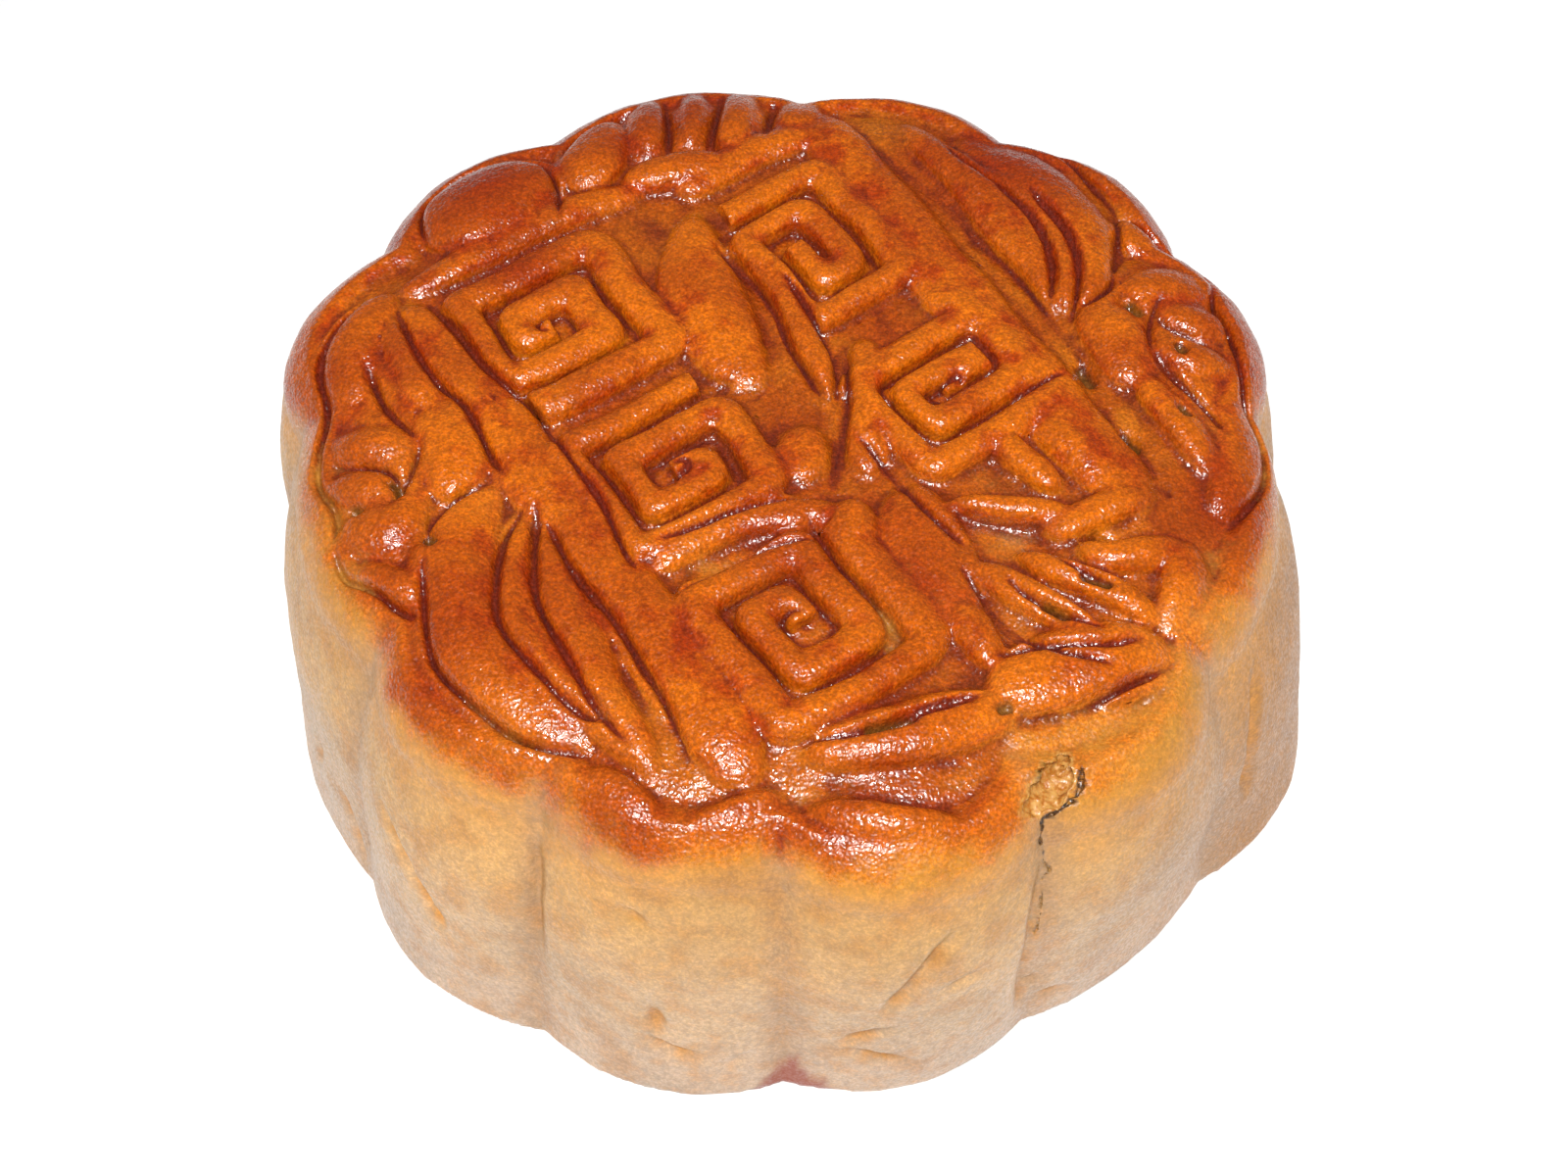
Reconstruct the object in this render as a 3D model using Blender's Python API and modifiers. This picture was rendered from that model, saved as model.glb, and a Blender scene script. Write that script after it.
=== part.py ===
"""A lobed mooncake with a pressed ornament on its top, as one closed solid.

A round cake is turned from its profile and pressed into a mould of twelve lobes. The sunk
field of its top is filled with raised ornament: a slanting banner of square scrolls between
two smooth borders, a spray of leaves and a blossom on each side of it, feathers at its foot
and petals along the rim. The shoulder has one torn blister, with a crack that runs down the
groove below it.

Metres, +Z up. The origin is the middle of the flat base, and the banner's spray of leaves
that lies at -X -Y is the front left one.
"""

import math

import bmesh
import bpy

# The cake
BELLY_RADIUS = 0.0390  # at the crest of a lobe, at the belly
HEIGHT = 0.0334
BELLY_HEIGHT = 0.45 * HEIGHT
BASE_FLARE = 1.008  # radius of the base over the belly's
TOP_TAPER = 0.872  # radius of the wall, carried up to the top, over the belly's
SHOULDER = 0.0068
BASE_ROUNDING = 0.0009

# The mould's lobes, counterclockwise from the groove at the front left
FIRST_GROOVE = -117.5
LOBE_SPANS = (27.0, 27.5, 27.5, 38.0, 28.0, 28.5, 28.0, 34.0, 28.0, 28.5, 37.0, 28.0)
GROOVE_RATIO = 0.963  # radius in a groove over the radius at a crest
TOP_LOBING = 1.45  # how much deeper the lobes are at the top than at the belly
LOBING_FROM = 0.40  # share of the height where the lobes start to deepen
LOBING_TO = 0.82
STEPS_PER_LOBE = 6

# How far each lobe reaches out at the top, and how much further at the base
LOBE_REACH = (0.991, 1.050, 1.040, 0.980, 1.009, 1.023, 1.013, 1.030, 1.036, 1.040, 0.950, 0.975)
LOBE_SPREAD = (1.044, 0.977, 0.954, 1.105, 0.978, 0.986, 0.996, 1.002, 0.998, 0.969, 1.062, 1.061)

# The sunk field, as shares of the belly's radius
FIELD_EDGE = 0.840
RIM_CREST = 0.880
FIELD_LOBING = 2.0  # how much deeper the field's edge is scalloped than the wall
RELIEF = 0.00145

# The ornament
BANNER_TURN = 32.0  # degrees from +X to the banner's short side
STROKE_OF_PITCH = 0.86  # width of a scroll's line over the distance between its turns
PATTERN_SHIFT = (0.0006, 0.0014)
LEAST_LIFT = 0.00012  # no two ropes end at quite the same height
SINK = 0.00016
FULLNESS = 0.65  # 1 for a round top, less for a fuller one
SPINE_STEPS = 6
TIP = 0.2  # half width of a petal's tip over its middle's

# How the soft dough drags the pattern: reach, wavelengths along x and y, and two phases
DRAG_WAVES = (
    (0.00034, 0.023, 0.031, 0.7, 1.9),
    (0.00017, -0.017, 0.012, 2.1, 0.4),
)

# How the baked cake stands out of true
LEAN = (-0.0001, -0.0019)
HEAVE = 0.00020
HEAVE_WAVES = (0.070, 0.057)

# The torn blister and its crack: degrees round the cake, height and radius
BLISTER = (-61.2, 0.0304)
BLISTER_SIZE = (0.0026, 0.00115, 0.0013)
BLISTER_TURN = (-40.0, 0.0, 62.0)
CRACK = (
    (-58.3, 0.0305, 0.00036),
    (-60.5, 0.0300, 0.00036),
    (-62.5, 0.0294, 0.00034),
    (-63.4, 0.0270, 0.00034),
    (-62.6, 0.0244, 0.00028),
    (-64.0, 0.0208, 0.00026),
    (-65.0, 0.0160, 0.00018),
)


def grooves():
    """The grooves' angles in degrees, with the first one again after a full turn."""
    angles = [FIRST_GROOVE]
    for span in LOBE_SPANS:
        angles.append(angles[-1] + span)
    return angles


GROOVES = grooves()
CRESTS = [(here + there) / 2 for here, there in zip(GROOVES, GROOVES[1:])]


def clamped(value):
    return min(max(value, 0), 1)


def lobe_ratio(angle):
    """The mould's outline at this angle in degrees, over the radius at a lobe's crest."""
    turned = (angle - FIRST_GROOVE) % 360 + FIRST_GROOVE
    index = sum(turned >= groove for groove in GROOVES[1:-1])
    half = math.radians(LOBE_SPANS[index]) / 2
    off = math.radians(turned - GROOVES[index]) - half
    centre = (GROOVE_RATIO**2 - 1) / (2 * (GROOVE_RATIO * math.cos(half) - 1))
    return centre * math.cos(off) + math.sqrt((1 - centre) ** 2 - (centre * math.sin(off)) ** 2)


def between_crests(angle, shares):
    """One share for each lobe, blended smoothly from crest to crest."""
    turned = (angle - CRESTS[0]) % 360 + CRESTS[0]
    index = sum(turned >= crest for crest in CRESTS[1:])
    following = (index + 1) % len(CRESTS)
    gap = (CRESTS[following] - CRESTS[index]) % 360
    step = (1 - math.cos(math.pi * (turned - CRESTS[index]) / gap)) / 2
    return shares[index] * (1 - step) + shares[following] * step


def wall_ratio(z):
    """The wall's radius at this height over the belly's, before its edges are rounded."""
    if z > BELLY_HEIGHT:
        share = (z - BELLY_HEIGHT) / (HEIGHT - BELLY_HEIGHT)
        return 1 + (TOP_TAPER - 1) * share**2
    return 1 + (BASE_FLARE - 1) * (1 - z / BELLY_HEIGHT) ** 2


SHOULDER_OUT = wall_ratio(HEIGHT - SHOULDER)
SHOULDER_IN = wall_ratio(HEIGHT) - SHOULDER / BELLY_RADIUS


def wall_outline(angle, z):
    """How far the wall reaches at this angle and height, over a round cake's radius there."""
    deepening = clamped((z / HEIGHT - LOBING_FROM) / (LOBING_TO - LOBING_FROM)) ** 2
    lobing = 1 + (TOP_LOBING - 1) * deepening
    low = clamped(1 - z / (HEIGHT - SHOULDER))
    spread = 1 + (between_crests(angle, LOBE_SPREAD) - 1) * low
    return lobe_ratio(angle) ** lobing * between_crests(angle, LOBE_REACH) * spread


def crown(x, y):
    """The height of the top's outer skin over a point, rounded off towards the wall."""
    angle = math.degrees(math.atan2(y, x))
    outline = lobe_ratio(angle) ** TOP_LOBING * between_crests(angle, LOBE_REACH)
    ratio = math.hypot(x, y) / (BELLY_RADIUS * outline)
    out = clamped((ratio - SHOULDER_IN) / (SHOULDER_OUT - SHOULDER_IN))
    return HEIGHT - SHOULDER * (1 - math.sqrt(1 - out**2))


def body_profile():
    """Radius and height down the outer side, from the middle of the top to that of the base."""
    points = [(share * FIELD_EDGE, HEIGHT - RELIEF) for share in (0, 0.3, 0.6, 0.85, 1)]
    shoulder_steps = 6
    for step in range(shoulder_steps + 1):
        turn = math.pi / 2 * step / shoulder_steps
        ratio = SHOULDER_IN + (SHOULDER_OUT - SHOULDER_IN) * math.sin(turn)
        drop = SHOULDER * (1 - math.cos(turn))
        if ratio > RIM_CREST:
            points.append((ratio, HEIGHT - drop))
    wall_steps = 5
    for step in range(1, wall_steps + 1):
        z = HEIGHT - SHOULDER - (HEIGHT - SHOULDER - BASE_ROUNDING) * step / wall_steps
        points.append((wall_ratio(z), z))
    base = points[-1][0]
    inset = BASE_ROUNDING / BELLY_RADIUS
    points.append((base - 0.3 * inset, 0.3 * BASE_ROUNDING))
    points.append((base - inset, 0))
    points.append((0, 0))
    return [(ratio * BELLY_RADIUS, z) for ratio, z in points]


def new_object(name, mesh, collection):
    made = bpy.data.objects.new(name, mesh)
    collection.objects.link(made)
    return made


def mesh_of(made, name):
    """The object's evaluated mesh as a new mesh with its doubles merged."""
    graph = bpy.context.evaluated_depsgraph_get()
    mesh = bpy.data.meshes.new_from_object(made.evaluated_get(graph))
    mesh.name = name
    work = bmesh.new()
    work.from_mesh(mesh)
    bmesh.ops.remove_doubles(work, verts=work.verts, dist=1e-6)
    bmesh.ops.recalc_face_normals(work, faces=work.faces)
    work.to_mesh(mesh)
    work.free()
    return mesh


def turned_cake(collection):
    """The round cake: its profile turned by a Screw, with the same steps in every lobe."""
    mesh = bpy.data.meshes.new("cake_profile")
    profile = body_profile()
    edges = [(i, i + 1) for i in range(len(profile) - 1)]
    mesh.from_pydata([(r, 0, z) for r, z in profile], edges, [])
    made = new_object("cake_profile", mesh, collection)
    screw = made.modifiers.new("turn", "SCREW")
    screw.steps = screw.render_steps = STEPS_PER_LOBE * len(LOBE_SPANS)
    screw.use_merge_vertices = True
    screw.merge_threshold = 0.00001
    return made


def press_lobes(mesh):
    """Moves the round cake's points out to the walls of the lobed mould."""
    even_span = 360 / len(LOBE_SPANS)
    for vertex in mesh.vertices:
        x, y, z = vertex.co
        ratio = math.hypot(x, y) / BELLY_RADIUS
        lobe, share = divmod(math.degrees(math.atan2(y, x)) % 360 / even_span, 1)
        angle = GROOVES[int(lobe)] + share * LOBE_SPANS[int(lobe)]
        on_top = z > HEIGHT - SHOULDER
        outline = wall_outline(angle, z)
        if on_top:
            outward = clamped((ratio - FIELD_EDGE) / (SHOULDER_OUT - FIELD_EDGE))
            lobing = FIELD_LOBING - (FIELD_LOBING - TOP_LOBING) * outward
            outline = lobe_ratio(angle) ** lobing * between_crests(angle, LOBE_REACH)
        radius = math.hypot(x, y) * outline
        vertex.co.x = radius * math.cos(math.radians(angle))
        vertex.co.y = radius * math.sin(math.radians(angle))
        if on_top:
            sunk = RELIEF if ratio < FIELD_EDGE + 0.001 else 0
            vertex.co.z = crown(vertex.co.x, vertex.co.y) - sunk


def tube(name, spine, radii, collection):
    """A closed round tube along the spine, as a mesh object."""
    curve = bpy.data.curves.new(name, "CURVE")
    curve.dimensions = "3D"
    curve.bevel_depth = 1
    curve.bevel_resolution = 2
    curve.use_fill_caps = True
    spline = curve.splines.new("POLY")
    spline.points.add(len(spine) - 1)
    for point, place, radius in zip(spline.points, spine, radii):
        point.co = (*place, 1)
        point.radius = radius
    route = new_object(name + "_route", curve, collection)
    bpy.context.view_layer.update()
    made = new_object(name, mesh_of(route, name), collection)
    bpy.data.objects.remove(route)
    return made


def dragged(x, y):
    """Where a point of the mould's pattern lies on the cake, in plan."""
    across, along = PATTERN_SHIFT
    for reach, wide, deep, first, second in DRAG_WAVES:
        wave = 2 * math.pi * (x / wide + y / deep)
        across += reach * math.sin(wave + first)
        along += reach * math.sin(wave + second)
    return x + across, y + along


def lift_of(place):
    """A small lift of its own for the rope that starts here."""
    return LEAST_LIFT * math.cos(place[0] / LEAST_LIFT - place[1] / SINK)


def lay(made, half_width, rise, lift):
    """Brings a tube modelled at z = 0 to the relief's height, half sunk, and fills out its top."""
    for vertex in made.data.vertices:
        x, y, z = vertex.co
        x, y = dragged(x, y)
        share = math.copysign(abs(z / half_width) ** FULLNESS, z)
        height = crown(x, y) - RELIEF - SINK + share * (RELIEF * rise + SINK + lift)
        vertex.co = (x, y, height)


def petal(name, start, end, bow, half_width, blunt, rise, collection):
    """A crowned petal or leaf from start to end in plan, bowed to its left by bow.

    blunt is 1 for pointed tips, 2 for an ellipse and 6 for a bar with round ends. rise is
    its height over the relief's.
    """
    along = (end[0] - start[0], end[1] - start[1])
    length = math.hypot(*along)
    side = (-along[1] / length, along[0] / length)
    spine = []
    radii = []
    for step in range(SPINE_STEPS + 1):
        share = (1 - math.cos(math.pi * step / SPINE_STEPS)) / 2
        reach = abs(2 * share - 1)
        out = bow * (1 - reach**2)
        x = start[0] + along[0] * share + side[0] * out
        y = start[1] + along[1] * share + side[1] * out
        spine.append((x, y, 0))
        radii.append(half_width * max(TIP, (1 - reach**blunt) ** 0.5))
    made = tube(name, spine, radii, collection)
    lay(made, half_width, rise, lift_of(start))


def scroll_corners(width, length, stroke, pitch):
    """Corners of a line wound inwards in a rectangle, from the low left one."""
    right = (width - stroke) / 2
    top = (length - stroke) / 2
    left = -right
    bottom = -top
    corners = [(left, bottom)]
    while min(right - left, top - bottom) > 0.3 * pitch:
        corners += [(right, bottom), (right, top), (left, top)]
        bottom += pitch
        corners.append((left, bottom))
        left += pitch
        right -= pitch
        top -= pitch
    last_run = corners[-2][1] - corners[-1][1]
    if last_run < stroke / 2:
        corners.pop()
    return corners


def square_scroll(name, centre, width, length, pitch, quarter, hand, collection):
    """A raised line wound inwards in a rectangle, turned with the banner."""
    stroke = pitch * STROKE_OF_PITCH
    turn = math.radians(BANNER_TURN + 90 * quarter)
    spine = []
    for across, along in scroll_corners(width, length, stroke, pitch):
        across *= hand
        x = centre[0] + across * math.cos(turn) - along * math.sin(turn)
        y = centre[1] + across * math.sin(turn) + along * math.cos(turn)
        spine.append((x, y, 0))
    half = stroke / 2
    made = tube(name, spine, [half] * len(spine), collection)
    lay(made, half, 1.0, lift_of(centre))


def settle(mesh):
    """Leans the cake and heaves its top a little, then centres it over the origin."""
    for vertex in mesh.vertices:
        x, y, z = vertex.co
        up = z / HEIGHT
        wave = math.sin(2 * math.pi * x / HEAVE_WAVES[0] + 1) * math.cos(2 * math.pi * y / HEAVE_WAVES[1])
        vertex.co = (x + LEAN[0] * up, y + LEAN[1] * up, z + HEAVE * up * wave)
    xs = [vertex.co.x for vertex in mesh.vertices]
    ys = [vertex.co.y for vertex in mesh.vertices]
    middle_x = (min(xs) + max(xs)) / 2
    middle_y = (min(ys) + max(ys)) / 2
    for vertex in mesh.vertices:
        vertex.co.x -= middle_x
        vertex.co.y -= middle_y


def mm(*values):
    return tuple(value / 1000 for value in values)


# Name, start, end, bow and half width in millimetres, bluntness and rise. The blossom also
# stands half a turn round.
BLOSSOM = (
    ("blossom_pad", (-31.2, 5.0), (-27.4, -15.4), 0.8, 3.6, 3, 0.55),
    ("blossom_a", (-31.6, -1.6), (-29.6, 10.6), 1.6, 2.7, 2.5, 1.05),
    ("blossom_b", (-29.2, 7.4), (-24.6, -2.0), -0.3, 1.6, 2.5, 1.0),
    ("blossom_c", (-25.0, -0.4), (-22.6, -9.2), 0.3, 2.5, 2.5, 1.0),
    ("blossom_d", (-33.0, -3.2), (-26.0, -5.2), 0.3, 1.8, 2.2, 0.95),
    ("blossom_e", (-33.2, -6.9), (-27.2, -7.7), -0.3, 1.5, 2.2, 0.9),
    ("blossom_f", (-32.2, -11.4), (-24.8, -10.0), -0.4, 2.1, 2.2, 0.95),
    ("blossom_g", (-30.8, -14.0), (-24.4, -17.2), -0.6, 2.1, 2.2, 1.0),
)
# Each of these stands once.
SINGLE = (
    ("border_left", (-28.4, 9.0), (-2.3, -32.6), 0.3, 2.5, 8, 0.85),
    ("leaf_left_outer", (-20.2, -7.6), (-12.6, -28.8), -6.4, 3.4, 2.4, 1.0),
    ("leaf_left_middle", (-18.2, -10.4), (-11.0, -28.2), -3.4, 1.6, 2, 1.0),
    ("leaf_left_inner", (-17.0, -11.0), (-8.6, -31.0), -1.4, 2.1, 2.2, 1.0),
    ("border_right", (24.6, -10.8), (0.8, 30.8), 0.3, 2.6, 8, 0.85),
    ("leaf_right_inner", (19.2, 8.0), (8.8, 29.4), -1.3, 2.3, 2.2, 1.0),
    ("leaf_right_middle", (20.2, 8.0), (15.0, 24.0), -1.6, 1.4, 2.2, 1.05),
    ("leaf_right_outer", (22.0, 6.4), (13.8, 28.2), -3.4, 3.1, 2.4, 1.1),
    ("end_border", (-29.4, 10.4), (-11.0, 21.2), 0.6, 1.8, 8, 0.9),
    ("end_bend", (-8.6, 20.8), (3.4, 27.6), 0.6, 1.7, 6, 0.85),
    ("round_petal", (-28.4, 16.6), (-17.4, 21.4), 1.2, 5.2, 2.2, 1.5),
    ("fan_pad", (-16.0, 26.4), (3.0, 30.4), 0.8, 3.4, 4, 0.5),
    ("fan_a", (-15.6, 20.8), (-14.6, 31.2), 0.5, 2.9, 2.5, 1.2),
    ("fan_b", (-11.2, 25.2), (-10.8, 34.0), 0.0, 1.9, 3, 1.1),
    ("fan_c", (-7.2, 26.0), (-7.2, 34.6), 0.0, 1.3, 3, 1.0),
    ("fan_d", (-3.8, 25.0), (-3.8, 34.4), 0.0, 1.8, 3, 1.1),
    ("fan_e", (0.4, 26.8), (0.8, 33.8), -0.3, 1.8, 3, 1.1),
    ("fan_bar", (-12.8, 21.6), (-4.0, 23.8), 0.6, 2.0, 3, 1.2),
    ("rim_petal", (-13.4, -30.6), (-7.6, -35.4), -0.6, 2.2, 2.5, 1.1),
    ("rim_lip", (-7.4, -34.8), (-0.6, -33.2), -0.7, 1.5, 2.5, 1.0),
    ("front_petal", (0.8, -31.0), (14.6, -27.0), 0.7, 2.4, 2.5, 1.1),
    ("front_lip", (0.8, -34.4), (11.0, -34.4), -0.9, 1.7, 2.4, 1.2),
    ("side_petal", (13.0, -25.9), (25.8, -21.8), 0.3, 3.1, 2.5, 1.1),
    ("feather_a", (10.6, -9.9), (19.6, -10.6), -0.3, 1.3, 2.5, 1.15),
    ("feather_b", (14.6, -14.4), (24.8, -19.6), 0.4, 1.45, 2.5, 1.15),
    ("feather_c", (11.8, -15.6), (20.2, -22.2), 0.4, 1.45, 2.5, 1.1),
    ("feather_d", (16.8, -12.6), (25.4, -9.2), 0.3, 1.3, 2.5, 0.95),
    ("feather_e", (19.4, -13.2), (27.2, -13.6), -0.9, 1.5, 2.5, 1.05),
    ("feather_f", (27.0, -13.4), (24.6, -20.4), 0.9, 1.8, 2.5, 1.1),
    ("bud_a", (-7.4, 18.6), (-2.2, 0.6), -1.6, 3.0, 2.5, 1.0),
    ("bud_b", (-3.6, 15.4), (2.2, -0.8), 0.9, 1.7, 2, 1.0),
    ("bud_c", (5.4, 5.6), (5.0, -7.8), 0.2, 1.6, 4, 0.9),
    ("bud_d", (0.2, -2.8), (1.6, -8.2), 0.2, 1.9, 3, 0.7),
    ("hood", (-9.6, -16.0), (4.2, -11.4), 2.6, 1.6, 3, 1.0),
    ("bud_e", (3.4, -10.0), (4.6, -14.6), 0.4, 1.6, 3, 1.1),
    ("mound", (7.4, -8.4), (10.4, -21.6), 0.6, 2.9, 3, 0.75),
    ("bud_f", (10.6, -18.4), (13.6, -24.2), 0.3, 1.3, 2.5, 1.0),
    ("stroke_a", (14.4, -3.6), (18.8, -8.8), 0.2, 1.35, 3, 1.0),
    ("stroke_b", (17.8, -2.0), (22.4, -8.6), 0.3, 1.45, 3, 1.0),
    ("stroke_c", (10.0, 9.4), (15.4, 5.0), 0.8, 1.5, 3, 1.0),
)
# Centre, width, length and pitch in millimetres, quarter turns and hand
SCROLLS = (
    ((-16.6, 6.9), 14.4, 14.4, 3.10, 0, 1),
    ((-8.5, -6.5), 14.2, 13.2, 2.99, 2, 1),
    ((1.2, -20.0), 14.4, 15.0, 3.10, 1, -1),
    ((2.1, 15.2), 11.2, 15.2, 2.99, 2, -1),
    ((11.6, 0.4), 14.0, 12.0, 2.89, 0, -1),
)


def ornament(collection):
    for name, start, end, bow, half_width, blunt, rise in BLOSSOM + SINGLE:
        petal(name, mm(*start), mm(*end), bow / 1000, half_width / 1000, blunt, rise, collection)
    for name, start, end, bow, half_width, blunt, rise in BLOSSOM:
        start = mm(-start[0], -start[1])
        end = mm(-end[0], -end[1])
        petal(name + "_turned", start, end, bow / 1000, half_width / 1000, blunt, rise, collection)
    for index, (centre, width, length, pitch, quarter, hand) in enumerate(SCROLLS):
        sizes = mm(width, length, pitch)
        square_scroll("scroll_%d" % index, mm(*centre), *sizes, quarter, hand, collection)


def on_wall(angle, z):
    """The point of the lobed wall at this angle in degrees and this height."""
    ratio = wall_ratio(z)
    if z > HEIGHT - SHOULDER:
        rise = (z - HEIGHT + SHOULDER) / SHOULDER
        ratio = SHOULDER_IN + (SHOULDER_OUT - SHOULDER_IN) * math.sqrt(1 - rise**2)
    radius = BELLY_RADIUS * ratio * wall_outline(angle, z)
    return (radius * math.cos(math.radians(angle)), radius * math.sin(math.radians(angle)), z)


def blister_cutters(collection):
    """The hollow of the torn blister and the crack that runs down from it."""
    mesh = bpy.data.meshes.new("blister")
    work = bmesh.new()
    bmesh.ops.create_uvsphere(work, u_segments=12, v_segments=8, radius=1)
    work.to_mesh(mesh)
    work.free()
    hollow = new_object("blister", mesh, collection)
    hollow.location = on_wall(*BLISTER)
    hollow.rotation_euler = [math.radians(turn) for turn in BLISTER_TURN]
    hollow.scale = BLISTER_SIZE
    spine = [on_wall(angle, z) for angle, z, _ in CRACK]
    tube("crack", spine, [radius for _, _, radius in CRACK], collection)


def crust_material():
    material = bpy.data.materials.new("baked_crust")
    material.use_nodes = True
    shader = material.node_tree.nodes["Principled BSDF"]
    shader.inputs["Base Color"].default_value = (0.50, 0.155, 0.030, 1)
    shader.inputs["Roughness"].default_value = 0.38
    shader.inputs["Metallic"].default_value = 0
    return material


def new_collection(name):
    collection = bpy.data.collections.new(name)
    bpy.context.scene.collection.children.link(collection)
    return collection


def joined(made, cutters, operation):
    modifier = made.modifiers.new(operation.lower(), "BOOLEAN")
    modifier.operand_type = "COLLECTION"
    modifier.collection = cutters
    modifier.operation = operation
    modifier.solver = "EXACT"


def main():
    for leftover in list(bpy.data.objects):
        bpy.data.objects.remove(leftover)
    cake_parts = new_collection("mooncake")
    reliefs = new_collection("relief_helpers")
    cutters = new_collection("cutters")

    blank = turned_cake(reliefs)
    bpy.context.view_layer.update()
    mesh = mesh_of(blank, "pressed_cake")
    bpy.data.objects.remove(blank)
    press_lobes(mesh)
    pressed = new_object("pressed_cake", mesh, cutters)

    ornament(reliefs)
    joined(pressed, reliefs, "UNION")
    bpy.context.view_layer.update()
    relieved = mesh_of(pressed, "relieved_cake")
    bpy.data.objects.remove(pressed)

    cake = new_object("mooncake", relieved, cake_parts)
    blister_cutters(cutters)
    joined(cake, cutters, "DIFFERENCE")
    bpy.context.view_layer.update()
    baked = mesh_of(cake, "mooncake")
    bpy.data.objects.remove(cake)

    settle(baked)
    baked.materials.clear()
    baked.materials.append(crust_material())
    baked.shade_smooth()
    baked.set_sharp_from_angle(angle=math.radians(40))
    new_object("mooncake", baked, cake_parts)

    for collection in (reliefs, cutters):
        collection.hide_render = True
        for helper in collection.objects:
            helper.hide_render = True
            helper.display_type = "WIRE"
    print("triangles", sum(len(face.vertices) - 2 for face in baked.polygons))


main()
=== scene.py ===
# %% [markdown]
# # A pressed mooncake
#
# The real thing is a ball of dough round a sweet filling. It is pushed into a carved mould,
# knocked out, brushed with egg and baked. This notebook makes it in the same order: a plain
# blank, its lobed wall, the raised ornament, the softening in the oven, the torn blister, and
# then the browned, shiny crust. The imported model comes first, because every size follows it.

import math

import bpy
import numpy as np
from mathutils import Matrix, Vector


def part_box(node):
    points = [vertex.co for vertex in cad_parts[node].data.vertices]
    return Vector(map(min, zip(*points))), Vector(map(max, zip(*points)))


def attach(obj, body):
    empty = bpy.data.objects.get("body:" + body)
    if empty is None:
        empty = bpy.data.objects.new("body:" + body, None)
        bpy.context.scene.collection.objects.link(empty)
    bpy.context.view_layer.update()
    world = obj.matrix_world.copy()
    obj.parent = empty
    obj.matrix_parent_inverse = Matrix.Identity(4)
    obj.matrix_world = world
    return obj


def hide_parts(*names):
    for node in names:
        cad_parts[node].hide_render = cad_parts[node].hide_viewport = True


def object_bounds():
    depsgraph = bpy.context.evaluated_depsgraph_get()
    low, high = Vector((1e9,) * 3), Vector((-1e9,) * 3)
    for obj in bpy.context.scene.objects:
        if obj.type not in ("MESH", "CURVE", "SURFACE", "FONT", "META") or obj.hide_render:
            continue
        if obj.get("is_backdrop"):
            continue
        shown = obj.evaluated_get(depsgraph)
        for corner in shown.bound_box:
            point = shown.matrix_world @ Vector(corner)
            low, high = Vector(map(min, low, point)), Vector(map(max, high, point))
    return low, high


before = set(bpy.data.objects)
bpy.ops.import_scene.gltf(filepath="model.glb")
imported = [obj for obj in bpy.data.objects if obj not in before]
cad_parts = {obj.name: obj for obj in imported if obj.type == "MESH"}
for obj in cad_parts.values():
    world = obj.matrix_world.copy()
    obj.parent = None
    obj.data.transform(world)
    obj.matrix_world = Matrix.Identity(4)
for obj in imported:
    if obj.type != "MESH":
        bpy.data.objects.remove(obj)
cad_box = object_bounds()
low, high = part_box("mooncake")
print("packed cake, millimetres:", [round(side * 1000, 1) for side in high - low])

# %% [markdown]
# ## The driving sizes
#
# A turned and pressed cake is ruled by a few numbers: its radius at the belly, its height, how
# round the shoulder is, and how far round the cake each lobe of the mould reaches. They are the
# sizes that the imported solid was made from, so the baked crust will fit over it.

# %% Sizes of the blank
MM = 0.001
BELLY_RADIUS = 39.0 * MM
HEIGHT = 33.2 * MM
BELLY_HEIGHT = 0.45 * HEIGHT
BASE_FLARE = 1.008  # the radius at the tray, over the belly's
TOP_TAPER = 0.872  # the radius at the top before it is rounded off, over the belly's
SHOULDER = 6.8 * MM
BASE_ROUNDING = 0.9 * MM
FIELD_EDGE = 0.840  # where the sunk field ends, over the belly's radius
RIM_CREST = 0.880  # where the rim round the field comes up, over the belly's radius
RELIEF = 1.45 * MM
FIRST_GROOVE = -117.5  # degrees round the cake, 0 on its right
# Each lobe's width in degrees, then its reach and its spread at the tray, both as ratios.
LOBE_SPANS = (27.0, 27.5, 27.5, 38.0, 28.0, 28.5, 28.0, 34.0, 28.0, 28.5, 37.0, 28.0)
LOBE_REACH = (0.991, 1.050, 1.040, 0.980, 1.009, 1.023, 1.013, 1.030, 1.036, 1.040, 0.950, 0.975)
LOBE_SPREAD = (1.044, 0.977, 0.954, 1.105, 0.978, 0.986, 0.996, 1.002, 0.998, 0.969, 1.062, 1.061)
GROOVE_RATIO = 0.963  # a groove's radius over its lobe's
TOP_LOBING = 1.45  # the power that deepens the lobes towards the top
FIELD_LOBING = 2.0  # and the same at the edge of the field
LOBING_FROM = 0.4  # the lobes deepen from this share of the height
LOBING_OVER = 0.42
GROOVES = FIRST_GROOVE + np.concatenate([[0], np.cumsum(LOBE_SPANS)])
CRESTS = (GROOVES[1:] + GROOVES[:-1]) / 2
print("lobes:", len(LOBE_SPANS), "and the widest spans", max(LOBE_SPANS), "degrees")

# %% [markdown]
# ## The mould as formulas
#
# In plan each lobe is an arc that bulges between two grooves, and each reaches out by its own
# share, because soft dough never fills a mould evenly. From the side, the wall swells at the
# belly and rounds off into the top. A few small functions say this. They take arrays, so the
# same ones shape the blank, lay the ornament and place the tear.


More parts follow.
